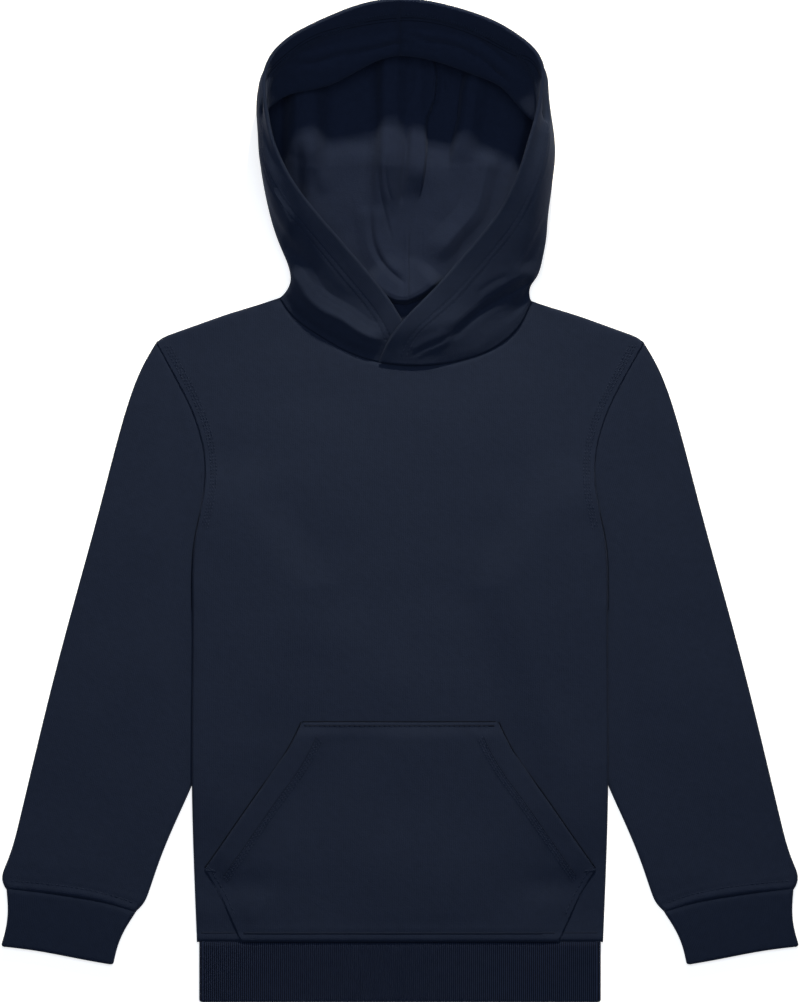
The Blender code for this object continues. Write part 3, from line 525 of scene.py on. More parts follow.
def put_tube(name, outer, inner, cloth, replaced, materials):
    """A closed wall of cloth between two grids whose columns close on themselves."""
    index = number_grid(outer)
    index = np.hstack((index, index[:, :1]))
    size = outer[..., 0].size
    walls = cells(index)
    faces = walls.tolist() + (walls[:, ::-1] + size).tolist()
    kinds = [0] * len(walls) + [1] * len(walls)
    for line in (index[0], index[-1][::-1]):
        p, q = line[:-1], line[1:]
        faces += np.stack((p, q, q + size, p + size), axis=1).tolist()
        kinds += [0] * len(p)
    points = np.concatenate((outer.reshape(-1, 3), inner.reshape(-1, 3)))
    cloth = np.tile(cloth.reshape(-1, 2), (2, 1))
    return put_mesh(name, points, faces, cloth, materials, replaced, kinds)


def put_sheet(name, outer, inner, cloth, replaced):
    """A closed wall of fleece between two grids, its side edges rounded."""
    columns = outer.shape[1]
    right = edge_ring(outer[:, -1], inner[:, -1], unit(outer[:, -1] - outer[:, -2]))
    left = edge_ring(inner[:, 0], outer[:, 0], unit(outer[:, 0] - outer[:, 1]))
    loop = np.concatenate((outer, right, inner[:, ::-1], left), axis=1)
    cloth = np.concatenate((cloth, cloth[:, [-1] * EDGE_STEPS], cloth[:, ::-1],
                            cloth[:, [0] * EDGE_STEPS]), axis=1)
    index = number_grid(loop)
    faces = cells(np.hstack((index, index[:, :1]))).tolist()
    kinds = np.zeros((len(index) - 1, index.shape[1]), int)
    kinds[:, columns + 1:2 * columns + 2] = 1
    kinds = kinds.ravel().tolist()
    inner_start = columns + EDGE_STEPS
    inner_end = inner_start + columns
    for row, order in ((index[0], 1), (index[-1], -1)):
        top, under = row[:columns], row[inner_start:inner_end][::-1]
        strip = np.stack((top[:-1], top[1:], under[1:], under[:-1]), axis=1)
        ends = (row[columns - 1:inner_start + 1], np.append(row[inner_end - 1:], row[0]))
        faces += strip[:, ::order].tolist() + [end[::-order].tolist() for end in ends]
        kinds += [0] * (len(strip) + len(ends))
    return put_mesh(name, loop.reshape(-1, 3), faces, cloth.reshape(-1, 2),
                    [FLEECE, BRUSHED], replaced, kinds)


def bar_faces(base, rings, corners, order=1):
    """Faces of a closed bar through rings of points that are numbered from the base."""
    ring = base + np.arange(corners)
    faces = []
    for step in range(rings - 1):
        a = ring + step * corners
        b = np.roll(a, -1)
        sides = np.stack((a, b, b + corners, a + corners), axis=1)
        faces += (sides if order > 0 else sides[:, [0, 3, 2, 1]]).tolist()
    ends = (ring[::-1], ring + (rings - 1) * corners)
    return faces + [end[::order].tolist() for end in ends]


# ---------------------------------------------------------------- stitches


class Surface:
    """A grid that stitches are laid on by plan position, seen from above."""

    def __init__(self, grid):
        self.tree = BVHTree.FromPolygons(grid.reshape(-1, 3).tolist(),
                                         cells(number_grid(grid)).tolist())

    def at(self, spot):
        """The surface's point and normal at a place in plan, or None twice beside it."""
        above = (*spot, 200.0)
        hit, normal, _, _ = self.tree.ray_cast(above, (0.0, 0.0, -1.0))
        if hit is None:
            return None, None
        normal = np.array(normal)
        return np.array(hit), normal if normal[2] > 0 else -normal


def along_line(line, step, shift=0.0):
    """Points at an even step along a line."""
    fine = line_through(line, evenly(800))
    run = run_along(fine)
    return read(fine, run, np.arange(shift, run[-1] - step * 0.4, step))


def one_stitch(start, end, up, width, height):
    """Points of a thread that comes out of the cloth, runs over it and goes back in."""
    across = np.cross(unit(end - start), up)
    points = []
    for place, rise, girth in ((0.0, -0.25, 0.55), (0.14, 0.62, 0.9), (0.5, 1.0, 1.0),
                               (0.86, 0.62, 0.9), (1.0, -0.25, 0.55)):
        centre = start + (end - start) * place + up * height * rise
        for angle in np.pi / 3.0 * np.arange(6):
            points.append(centre + (across * np.cos(angle) * width / 2.0
                                    + up * np.sin(angle) * height * 0.5) * girth)
    return points


def stitch_mesh(name, runs, width=0.58, height=0.26):
    """One object of many stitches, each given by its ends and the cloth's normal."""
    points, faces = [], []
    for start, end, up in runs:
        faces += bar_faces(len(points), 5, 6)
        points += one_stitch(start, end, up, width, height)
    return put_mesh(name, points, faces, np.asarray(points)[:, :2], [THREAD])


def shade_strip_mesh(name, surface, lines, width, material=SEAM_SHADE):
    """A dark strip of painted shade along a seam or a needle line: a thin closed strip laid on
    the cloth.
    """
    points, faces = [], []
    for line in lines:
        spots = along_line(np.asarray(line, float), 0.9)
        base = len(points)
        for spot, side in zip(spots, normals_of(spots) * width / 2.0):
            hit = surface.at(spot)[0]
            if hit is not None:
                points += [(*(spot + shift), hit[2] + rise) for shift, rise in
                           ((side, 0.06), (-side, 0.06), (-side, -0.15), (side, -0.15))]
        faces += bar_faces(base, (len(points) - base) // 4, 4, -1)
    return put_mesh(name, points, faces, np.asarray(points)[:, :2], [material])


def rows_on(surface, line, pitch=3.0, shift=0.0, offset=0.0):
    """Stitches on a surface under a line in plan, moved to its left by the offset."""
    fine = line_through(line, evenly(200))
    ends = along_line(fine + normals_of(fine) * offset, pitch / 4.0, shift)
    runs = []
    for first, last in zip(ends[:-4:4], ends[3::4]):
        a, normal = surface.at(first)
        b, _ = surface.at(last)
        if a is not None and b is not None and np.linalg.norm(a - b) <= 2 * pitch:
            runs.append((a, b, normal))
    return runs


# ---------------------------------------------------------------- body

ARMHOLE = line_through(SIDE_LINE, np.linspace(0.0, 0.335, 120))


def side_edge(rows):
    """The right edge of the body at each of its rows."""
    fine = line_through(SIDE_LINE, evenly(600))
    return np.stack((np.interp(-rows, -fine[:, 1], fine[:, 0]), rows), axis=1)


def body_plan(neckline, neck_inset, neck_cells, shoulder_cells, upper_cells, step):
    """Plan of a body panel drawn in from its outline, and the outward normals of its ends."""
    shoulder = SIDE_LINE[0][1]
    lower_count = int((FILL_END - WAIST_SEAM) / step) + 1
    rows = np.concatenate((
        [shoulder], np.linspace(shoulder - 3.4, FILL_END, upper_cells)[:-1],
        np.linspace(FILL_END, WAIST_SEAM + SEAM_GAP, lower_count)))
    edge = side_edge(rows)
    neck = line_through(neckline, evenly(2 * neck_cells + 1))
    places = evenly(shoulder_cells + 1)[:-1, None]
    bow = SHOULDER_RISE * smooth(places / 0.07) * smooth((1.0 - places) / 0.5) * (0.0, 1.0)
    slopes = [corner + (end - corner) * places + bow
              for corner, end in ((edge[0] * (-1, 1), neck[0]), (edge[0], neck[-1]))]
    top = np.concatenate((slopes[0], neck, slopes[1][::-1]))
    upward, rightward = normals_of(top), normals_of(edge)
    right = edge - rightward * ROLL
    to_neck = smooth(np.linalg.norm(slopes[0] - neck[0], axis=1) / 14.0)
    insets = neck_inset + (ROLL - neck_inset) * to_neck
    top_inset = np.concatenate((insets, np.full(len(neck), neck_inset), insets[::-1]))[:, None]
    upward[shoulder_cells] = upward[shoulder_cells - 1]
    upward[-shoulder_cells - 1] = upward[-shoulder_cells]
    top = top - upward * top_inset
    right[0] = top[-1] = edge[0] - (rightward[0] + upward[-1]) * ROLL
    left = right * (-1, 1)
    top[0] = left[0]
    half = np.concatenate((np.linspace(0.0, NECK_SHARE, neck_cells + 1),
                           np.linspace(NECK_SHARE, 1.0, shoulder_cells + 1)[1:]))
    columns = np.concatenate((-half[:0:-1], half))
    lower = np.stack(np.broadcast_arrays(right[upper_cells:, :1] * columns,
                                         right[upper_cells:, 1:]), axis=2)
    head = fill(top, lower[0], left[:upper_cells + 1], right[:upper_cells + 1],
                0.8 * shoulder_cells / (len(top) - 1))
    return np.concatenate((head[:-1], lower)), upward, rightward, top_inset


def front_form(x, y):
    """Height of the front's outer face without its fine relief."""
    return LAYERS + lift(x, y) + puff(y - WAIST_SEAM)


def roll(line, outward, depth, reach=ROLL, steps=6):
    """Lines beyond a border, turning down by the depth as far as the outline."""
    rings = []
    for number in range(1, steps + 1):
        angle = np.pi / 2 * number / steps
        ring = line.copy()
        ring[:, :2] += outward * reach * np.sin(angle)
        ring[:, 2] -= depth * (1.0 - np.cos(angle))
        rings.append(ring)
    return rings


def waist_relief(y):
    """The topstitched band above the waist seam."""
    return (0.5 * bell(y - WAIST_SEAM - 3.0, 1.5) - 0.45 * bell(y - WAIST_STITCH, 1.1)
            - 0.8 * bell(y - WAIST_SEAM, 0.8))


def front_relief(points):
    """Fine relief of the front: soft waves, the armhole's sewn band, the seams' grooves."""
    flat = points[..., :2]
    x, y = np.abs(flat[..., 0]), flat[..., 1]
    height = waves(flat, 11, 120.0, 0.50) + waves(flat, 12, 46.0, 0.14)
    height *= smooth((y - WAIST_SEAM) / 20.0)
    away = np.abs(signed_distance(np.dstack((x, y)), ARMHOLE)[0])
    band = smooth((7.4 - away) / 1.6) * 0.35 - 0.6 * bell(away, 1.1)
    band -= sum(0.10 * bell(away - row, 0.9) for row in ARMHOLE_ROWS)
    height += band * smooth((y + 30.0) / 12.0)
    height += 2.2 * bell(np.hypot((x - 96.0) / 42.0, (y + 4.0) / 60.0), 1.0)
    return height + waist_relief(y) - 0.8 * bell(signed_distance(flat, NECK_LINE)[0], 1.0)


def build_front():
    plan, upward, rightward, top_inset = body_plan(NECK_LINE, 0.3, 52, 22, 34, 2.1)
    grid = np.dstack((plan, front_form(plan[..., 0], plan[..., 1])))
    grid[..., 2] += front_relief(grid)
    turn = LAYERS - ROLL_CLEARANCE
    depth = turn * smooth((-4.0 - grid[:, 0, 1]) / 41.0)
    right = roll(grid[:, -1], rightward, depth)
    left = roll(grid[:, 0], rightward * (-1, 1), depth)
    grid = np.stack(left[::-1] + list(grid.transpose(1, 0, 2)) + right, axis=1)
    beside = ((len(right), len(right)), (0, 0))
    depth = turn * smooth((np.abs(grid[0, :, 0]) - 80.0) / 16.0)
    above = roll(grid[0], np.pad(upward, beside, mode="edge"), depth,
                 np.pad(top_inset, beside, mode="edge"))
    grid = np.concatenate((np.stack(above[::-1]), grid))
    grid[..., 2] = np.maximum(grid[..., 2], 0.1)
    inner = grid - face_normals(grid) * CLOTH
    inner[..., 2] = np.maximum(inner[..., 2], 0.3)
    return put_sheet("front_panel", grid, inner, grid[..., :2], "front"), Surface(grid)


def build_back():
    plan = body_plan(BACK_NECK, 0.0, 26, 12, 16, 4.0)[0]
    x, y = np.abs(plan[..., 0]), plan[..., 1]
    # beside the armhole the edge comes down to the sleeve's lower layer
    from_edge = plan[:, -1:, 0] - x
    base = lift(x, y) * (1.0 - smooth((12.0 - from_edge) / 9.0) * smooth((y + 8.0) / 6.0))
    grid = np.dstack((plan, base))[:, ::-1]
    flat = grid[..., :2]
    grid[..., 2] += np.maximum(waves(flat, 21, 70.0, 0.25) + waves(flat, 22, 160.0, 0.3), 0.0)
    return put_sheet("back_panel", grid, grid + (0.0, 0.0, CLOTH), flat, "back")


def build_pocket():
    rows = np.concatenate((np.linspace(POCKET_TOP, POCKET_TIP, 58),
                           np.linspace(POCKET_TIP, WAIST_SEAM + SEAM_GAP, 29)[1:]))
    halves, levels = np.transpose(POCKET_SIDE)
    x = np.interp(-rows, -levels, halves)[:, None] * np.linspace(-1.0, 1.0, 181)
    y = np.broadcast_to(rows[:, None], x.shape)
    folded = np.dstack((np.abs(x), y))
    away = np.abs(signed_distance(folded, POCKET_MOUTH)[0])
    low = np.abs(signed_distance(folded, POCKET_LOW)[0])
    top = POCKET_TOP - y
    sewn = np.maximum(smooth((9.0 - top) / 8.0), smooth((15.0 - low) / 14.0))
    sewn = np.maximum(sewn, smooth((WAIST_SEAM + 8.0 - y) / 6.0) * 0.6)
    z = front_form(x, y) + CLOTH - 0.3 + (POCKET_GAP + 0.3) * (1.0 - sewn)
    hem = smooth((16.0 - away) / 1.6)
    z += 0.35 * hem * smooth((away + 0.6) / 1.8) * (1.0 - sewn)
    z -= sum(0.12 * bell(away - row, 0.8) for row in POCKET_ROWS)
    z -= 0.35 * bell(top - 2.4, 0.6)
    z -= 2.0 * bell(np.hypot((np.abs(x) - 91.0) / 18.0, (y + 230.0) / 9.0), 1.0)
    z += waist_relief(y)
    flat = np.dstack((x, y))
    loose = smooth((y - WAIST_SEAM) / 20.0) * smooth(top / 12.0)
    z += (waves(flat, 31, 60.0, 0.28) + waves(flat, 11, 120.0, 0.5)) * loose
    z += 1.4 * bell(np.hypot(x / 60.0, (y + 215.0) / 26.0), 1.0)
    grid = np.dstack((x, y, z))
    wall = CLOTH + 0.3 * hem - 0.2 * sewn
    inner = grid - face_normals(grid) * wall[..., None]
    thing = put_sheet("pocket_panel", grid, inner, flat, "pocket")
    surface = Surface(grid)
    runs, hem_lines = [], []
    for side in (-1, 1):
        mouth = np.array(POCKET_MOUTH) * (side, 1)
        for number, row in enumerate(POCKET_ROWS):
            runs += rows_on(surface, mouth, 2.1, 4.0 + 0.7 * number, -side * row)
        inside = along_line(mouth, 2.0, 4.0)
        hem_lines.append(inside - normals_of(inside) * side * (POCKET_ROWS[0] - 0.8))
        runs += rows_on(surface, np.array(POCKET_LOW[:-1]) * (side, 1), offset=-side * 2.3)
        # a bar tack of nine stitches at the pocket's corner
        half = unit(np.array((side * 0.5, 1.0))) * 0.9
        for number in range(9):
            spot = np.array((side * (116.0 - 0.62 * number), -221.2 - 0.05 * number))
            (a, up), (b, _) = surface.at(spot - half), surface.at(spot + half)
            if a is not None and b is not None:
                runs.append((a, b, up))
    runs += rows_on(surface, ((-57.0, -134.7), (0.0, -134.7), (57.0, -134.7)))
    stitch_mesh("pocket_stitching", runs)
    needle = ((-57.6, -134.4), (0.0, -134.5), (57.6, -134.4))
    waist = ((-94.0, WAIST_STITCH), (0.0, WAIST_STITCH), (94.0, WAIST_STITCH))
    # Dark strips of painted shade along the pocket's needle line, the waist's needle line and the
    # hem inside the mouth.
    shade_strip_mesh("pocket_needle_shade", surface, [needle], 1.0)
    shade_strip_mesh("pocket_waist_needle_shade", surface, [waist], 1.5, SOFT_SEAM_SHADE)
    shade_strip_mesh("pocket_hem_shade", surface, hem_lines, 0.6, SOFT_SEAM_SHADE)
    return thing


def sew_front(surface):
    """The armholes' topstitching, and strips of painted shade along the waist's needle line and
    the pocket's seam.
    """
    runs, seam_lines, low_lines = [], [], []
    seam_lines.append(((-58.6, -131.9), (0.0, -131.9), (58.6, -131.9)))
    for side in (-1, 1):
        seen = line_through(SIDE_LINE, np.linspace(0.012, 0.325, 80)) * (side, 1)
        for row, shift in zip(ARMHOLE_ROWS, (0.0, 0.7, 1.4)):
            runs += rows_on(surface, seen, 2.1, shift, -side * row)
        for edge, chosen in ((POCKET_MOUTH, seam_lines), (POCKET_LOW, low_lines)):
            fine = line_through(edge, evenly(60))
            chosen.append((fine + normals_of(fine) * 1.15) * (side, 1))
    waist_lines = [((x, WAIST_STITCH), (x + 22.5, WAIST_STITCH)) for x in (-119.5, 97.0)]
    stitch_mesh("front_stitching", runs)
    # Dark strips of painted shade where the seams' grooves lie.
    shade_strip_mesh("front_needle_shade", surface, waist_lines, 1.5, SOFT_SEAM_SHADE)
    shade_strip_mesh("pocket_seam_shade", surface, seam_lines, 0.8)
    shade_strip_mesh("pocket_low_seam_shade", surface, low_lines, 0.35, SOFT_SEAM_SHADE)


# ---------------------------------------------------------------- sleeves


def sleeve_plan(across, along):
    """Plan of the right sleeve, rows from the armhole to the cuff, inner edge first."""
    armhole = side_edge(np.linspace(SIDE_LINE[0][1], 5.0, 60))
    head = np.concatenate((armhole + normals_of(armhole) * SEAM_GAP, SLEEVE_HIDDEN))
    head = line_through(head, evenly(across))
    outer = line_through(np.concatenate((head[:1], SLEEVE_OUTER)), evenly(along))
    inner = line_through(SLEEVE_INNER, evenly(along))
    cuff = line_through(CUFF_SEAM, evenly(across)) + (0.0, SEAM_GAP)
    outer[-1], inner[-1] = cuff[0], cuff[-1]
    return fill(head[::-1], cuff[::-1], inner, outer)


def tube_face(plan, low, high, inset):
    """One face of a flattened tube: over the top of each row, round its edge and back."""
    across = unit(plan[:, -1] - plan[:, 0])
    upper, lower = (np.dstack((plan, z)).transpose(1, 0, 2) for z in (high, low))
    edges = []
    for column, outward in ((-1, across), (0, -across)):
        along = unit(np.gradient(plan[:, column], axis=0))
        slant = np.abs(across[:, 0] * along[:, 1] - across[:, 1] * along[:, 0])[:, None]
        floor = low[:, column][:, None]
        radius = (high[:, column][:, None] - floor) / 2.0
        rings = []
        for angle in np.radians((65.0, 40.0, 15.0, -15.0, -40.0, -65.0)):
            spot = plan[:, column] - outward * (inset + radius * (1.0 - np.cos(angle))) / slant
            rings.append(np.hstack((spot, floor + radius * (1.0 + np.sin(angle)))))
        edges.append(rings)
    return np.stack([*upper[1:-1], *edges[0], *lower[-2:0:-1], *edges[1][::-1]], axis=1)


def build_sleeve(side, sign):
    plan = sleeve_plan(62, 165)
    share = evenly(plan.shape[1])
    crown = np.sin(np.pi * share)
    clear = smooth((plan[..., 0] - 131.0) / 15.0)
    seen = plan * (sign, 1)
    from_cuff = np.linalg.norm(plan - plan[-1:], axis=2)
    from_head = np.linalg.norm(plan - plan[:1], axis=2)
    high = LAYERS + SLEEVE_CROWN * crown * clear
    high += puff(from_cuff) * smooth((share + 0.02) / 0.06) * smooth((1.02 - share) / 0.06)
    height = waves(seen, 41 + sign, 95.0, 0.42) + waves(seen, 45 + sign, 40.0, 0.13)
    high += height * clear * smooth((from_cuff - 4.0) / 16.0) * crown ** 0.5
    high -= 0.7 * bell(from_head, 1.3) + 1.1 * bell(from_cuff, 1.2)
    high -= 0.5 * bell(from_cuff - CUFF_STITCH, 1.2)
    low = np.maximum(waves(seen, 51 + sign, 60.0, 0.2), 0.0) * crown
    outer = tube_face(plan, low, high, 0.0)
    inner = tube_face(plan, low + CLOTH, high - CLOTH, CLOTH)
    slope = unit(np.subtract(SLEEVE_OUTER[6], SLEEVE_OUTER[3]))
    cloth = np.stack((outer[..., 0] * slope[1] - outer[..., 1] * slope[0],
                      outer[..., :2] @ slope), axis=-1)
    flip = (sign, 1, 1)
    thing = put_tube("sleeve_%s_panel" % side, outer[:, ::sign] * flip, inner[:, ::sign] * flip,
                     cloth[:, ::sign], "sleeve_" + side, [FLEECE, BRUSHED])
    surface = Surface(np.dstack((plan, high)) * flip)
    cuff_line = line_through(CUFF_SEAM, np.linspace(0.03, 0.97, 40))
    across = normals_of(cuff_line)
    stitched = cuff_line + across * np.sign(across[:, 1:]) * CUFF_STITCH
    # A dark strip of painted shade on the sleeve beside the armhole seam, where the body's edge
    # shades it.
    seam = side_edge(np.linspace(SIDE_LINE[0][1] - 1.0, -66.0, 90))
    seam = (seam + normals_of(seam) * 0.6) * (sign, 1)
    shade_strip_mesh("sleeve_%s_seam_line" % side, surface, [seam], 0.5)
    stitch_mesh("sleeve_%s_stitching" % side, rows_on(surface, stitched * (sign, 1)))
    return thing


# ---------------------------------------------------------------- rib bands


def flange(loop, inward, middle, half):
    """The loop's edge, drawn flat and pushed into the seam of the panel it is sewn to."""
    edge = loop.copy()
    centre = edge[:, :2].mean(axis=0)
    edge[:, :2] = centre + (edge[:, :2] - centre) * 0.985 + inward * 1.8
    edge[:, 2] = middle + np.clip(edge[:, 2] - middle, -half, half)
    return edge


def band_loop(line, ends, high, low, radius, turn):
    """One section of a band: over the top, round its right edge, back and round its left."""
    along = unit(ends[1] - ends[0])
    middle = BAND + REST_GAP / 2.0
    inset = (middle - radius * np.cos(turn))[:, None] * along
    right, left = (np.column_stack((end - way * inset, middle + way * radius * np.sin(turn)))
                   for end, way in ((ends[1], 1), (ends[0], -1)))
    return np.concatenate((np.column_stack((line, high)), right,
                           np.column_stack((line, low))[::-1], left))


def build_rib_band(name, replaced, rows, sign, material, rib_depth):
    """A tube of rib knit, with ribs all round and its far edge folded."""
    height = 2 * BAND + REST_GAP
    middle = height / 2.0
    width = np.linalg.norm(rows[0][-1] - rows[0][0])
    ribs = int(round(width / RIB_PITCH))
    points = ribs * RIB_CELLS + 1
    shares = np.linspace(middle / width, 1.0 - middle / width, points)
    wave = 0.5 - 0.5 * np.cos(2 * np.pi * np.arange(points) / RIB_CELLS)
    turn = np.linspace(np.pi / 2, -np.pi / 2, 14)[1:-1]
    total = np.linalg.norm(rows[-1][0] - rows[0][0])
    loops_out, loops_in = [], []
    for number, row in enumerate(rows):
        down = np.linalg.norm(row[0] - rows[0][0]) / total
        to_edge = (1.0 - down) * total
        worn = BAND * (1.0 - np.sqrt(1.0 - (1.0 - np.clip(to_edge / 1.6, 0, 1)) ** 2))
        sewn = 0.8 * bell(down * total, 0.9)
        line, ends = line_through(row, shares), line_through(row, (0.0, 1.0))
        ridge = rib_depth * smooth(to_edge / 2.0) * wave
        swell = waves(np.column_stack((line, np.full(points, number))), 61, 50.0, 0.12)
        loops_out.append(band_loop(
            line, ends, height - worn - sewn - ridge + swell * smooth(down * 6),
            worn + sewn * 0.3 + ridge, middle - worn, turn))
        radius = middle - BAND * (1.0 if number < len(rows) - 1 else 0.98)
        flat = np.full(points, middle + radius)
        loops_in.append(band_loop(line, ends, flat, height - flat, radius, turn))
    inward = unit((rows[0] - rows[1]).mean(axis=0))
    loops_out.insert(0, flange(loops_out[0], inward, middle, 0.75))
    loops_in.insert(0, flange(loops_in[0], inward, middle, 0.25))
    outer, inner = np.stack(loops_out), np.stack(loops_in)
    cloth = np.empty(outer.shape[:2] + (2,))
    straight = (shares - shares[0]) * ribs * RIB_PITCH / (shares[-1] - shares[0])
    bend = np.arange(1, len(turn) + 1) * height / len(turn) * 0.8
    end = straight[-1]
    cloth[..., 0] = np.concatenate((straight, end + bend, end + bend[-1] + 0.2 + straight,
                                    2 * end + bend[-1] + 0.2 + bend))
    cloth[..., 1] = np.linspace(0.0, total, len(rows) + 1)[:, None]
    flip = (sign, 1, 1)
    return put_tube(name, outer[:, ::-sign] * flip, inner[:, ::-sign] * flip, cloth[:, ::-sign],
                    replaced, [material, material])


def band_places(count):
    """Shares of a band's height at which its rows lie, close together at its edges."""
    return (0.0, 0.012, 0.03, 0.06, 0.1, *np.linspace(0.16, 0.9, count), 0.94, 0.965, 0.982,
            0.993, 1.0)


def build_waistband():
    rows = [np.array(((-WAIST_HALF, WAIST_SEAM - RIB_HEIGHT * down),
                      (WAIST_HALF, WAIST_SEAM - RIB_HEIGHT * down))) for down in band_places(8)]
    return build_rib_band("waistband_rib", "waistband", rows, 1, RIB, 0.7)


def build_cuff(side, sign):
    shares = evenly(14)[::-1]
    seam, hem = line_through(CUFF_SEAM, shares), line_through(CUFF_HEM, shares)
    bend = CUFF_BEND * unit(seam[-1] - seam[0]) * (2.0 * shares[:, None] - 1.0)
    rows = [seam + (hem - seam) * down + bend * np.sin(np.pi * down) for down in band_places(9)]
    return build_rib_band("cuff_%s_rib" % side, "cuff_" + side, rows, sign, CUFF_RIB, 0.1)


# ---------------------------------------------------------------- hood


def hood_sections(lines):
    """Knots of one hood panel, a row for each section, the rim first."""
    named = {name: np.array(line, float) for name, line in lines.items()}
    spine = np.array([(0.0, y, 0.0) for y in SPINE_Y])
    side, rim = named["side"], named["rim"]
    inward = unit((spine - side) * (1, 1, 0))
    hem = (rim + named["fold"]) / 2.0
    hem[:, 2] -= np.interp(np.arange(len(rim)), (5, 8, 11), (0.0, 2.2, 2.6))
    floor = (side + inward * 12.0) * (1, 1, 0)
    named.update(hem=hem, turn=(side + inward) * (1, 1, 0.4), floor=floor,
                 middle=(floor + spine) / 2, spine=spine)
    return np.stack([named[name] for name in HOOD_PLACES], axis=1)


def neck_row(sections, places, sign):
    """The hood's edge in the neck seam: along the front neckline and back under it."""
    front, back = line_through(NECK_LINE, evenly(81)), line_through(BACK_NECK, evenly(81))
    corner = front[0] if sign < 0 else front[-1]
    start = sections[0, 0]
    radius = LAYERS / 2.0
    fold = corner[0] - sign * radius
    side, floor = HOOD_PLACES["side"], HOOD_PLACES["floor"]
    to_side = np.clip(places / side, 0.0, 1.0)
    round_fold = np.clip((places - side) / (floor - side), 0.0, 1.0)
    angle = np.pi * (0.5 - round_fold)
    x = start[0] + (fold - start[0]) * to_side + sign * radius * np.cos(angle)
    x *= 1.0 - np.clip((places - floor) / (1.0 - floor), 0.0, 1.0)
    z = radius * (1.0 + np.sin(angle)) + (start[2] - LAYERS) * smooth(1.6 - to_side * 2.6)
    on_front = np.interp(x, front[:, 0], front[:, 1])
    on_back = np.interp(x, back[:, 0], back[:, 1])
    y = on_front + 0.15 + (on_back - on_front - 0.13) * smooth(round_fold)
    return np.column_stack((x, y, z))


def build_hood(side, sign, lines):
    """One half of the hood, from the rim over the outside to the seam at the back."""
    order = slice(None, None, -sign)  # turns the columns between the rim first and the left
    beyond = slice(-2, -5, -1)  # sections past the crown, on the other half
    sections = hood_sections(lines)
    reach = np.concatenate((SECTION_PLACES, 2.0 - np.array(SECTION_PLACES[beyond])))
    rows = evenly(HOOD_ROWS)
    rows = rows - 0.055 * np.sin(2 * np.pi * rows) / 2 * (1 - rows)
    by_section = spline(reach, np.concatenate((sections, sections[beyond] * (-1, 1, 1))), rows)
    knots = list(HOOD_PLACES.values())
    places = np.concatenate([np.linspace(a, b, count, endpoint=False) for a, b, count in
                             zip(knots[:-1], knots[1:], HOOD_CELLS)] + [[1.0]])
    grid = spline(knots, by_section.transpose(1, 0, 2), places).transpose(1, 0, 2)
    u, v = places[None, :], rows[:, None]
    ease = np.clip(1.0 - v / 0.07, 0.0, 1.0)[..., None] ** 2
    grid += (neck_row(sections, places, sign) - grid[:1]) * ease
    on_floor = smooth((u - 0.60) / 0.05) * smooth(v / 0.012)
    on_outside = smooth((0.49 - u) / 0.06) * smooth((0.68 - v) / 0.1) * smooth(v / 0.04)
    on_brim = smooth((0.19 - u) / 0.03) * smooth((v - 0.5) / 0.1)
    wander_y, wander_x = zip(*SEAM_WANDER)
    shift = np.interp(grid[..., 1], wander_y, wander_x)
    grid[..., 0] += shift * smooth(1.0 - np.abs(grid[..., 0]) / 72.0) * on_floor
    grid[..., 2] = np.maximum(grid[..., 2], 0.0)
    grid[..., 2] += np.maximum(relief(grid, FLOOR_FOLDS) * on_floor, 0.0) * 0.9
    grid[..., 2] += relief(grid, OUTER_FOLDS[sign]) * on_outside
    grid[..., 2] += relief(grid, BRIM_FOLDS) * on_brim
    grid, on_floor = grid[:, order], on_floor[:, order]
    calm = (smooth(v / 0.12) * smooth((1.0 - u) / 0.1) * smooth((1.0 - v) / 0.08))[:, order]
    rise = waves(grid, 71 + sign, 55.0, 0.45) + waves(grid, 75 + sign, 24.0, 0.12)
    rise = np.where(on_floor > 0.5, -np.abs(rise), rise)
    grid += face_normals(grid) * (rise * calm)[..., None]
    grid[..., 2] = np.maximum(grid[..., 2], 0.0)
    normal = face_normals(grid)
    spine = 0 if sign > 0 else -1
    for border in (normal[-1], normal[:, spine]):
        border[:] = unit(border * (0, 1, 1))
    from_rim = grid[:, order]
    run = np.cumsum(np.linalg.norm(np.diff(from_rim, axis=1), axis=2), axis=1)
    run = np.pad(run, ((0, 0), (1, 0)))
    down = np.broadcast_to(run_along(from_rim[:, 30])[:, None], run.shape)
    cloth = np.stack((run, down), axis=-1)[:, order]
    run = run[:, order]
    above_seam = smooth(v / 0.08)
    wall = CLOTH + 0.9 * smooth((HOOD_HEM - run) / 2.0) * above_seam
    wall -= 0.35 * bell(run - STITCH_ROWS.mean(), 1.6) * above_seam
    on_floor = on_floor[..., None]
    upright = normal * (1.0 - on_floor) - np.array((0.0, 0.0, 1.0)) * on_floor
    gap = (HALVES_GAP / 2.0 * sign, 0.0, 0.0)
    inner = grid - upright * wall[..., None] + gap
    for row in STITCH_ROWS:
        grid -= normal * (0.3 * bell(run - row, 0.7) * above_seam)[..., None]
    grid += gap
    thing = put_sheet("hood_%s_panel" % side, grid, inner, cloth, "hood_" + side)
    # A dark strip of painted shade inside the brim along the hem's stitching.
    hem = line_through(HEM_LINE, evenly(160))
    hem = hem[hem[:, 0] * sign > 0.2]
    shade_strip_mesh("hood_%s_hem_line" % side, Surface(inner[:, order][90:, :80]),
               [hem, hem - (0.0, 1.7)], 0.6)
    sew_hood(side, grid[:, order], inner[:, order], run[:, order])
    return thing


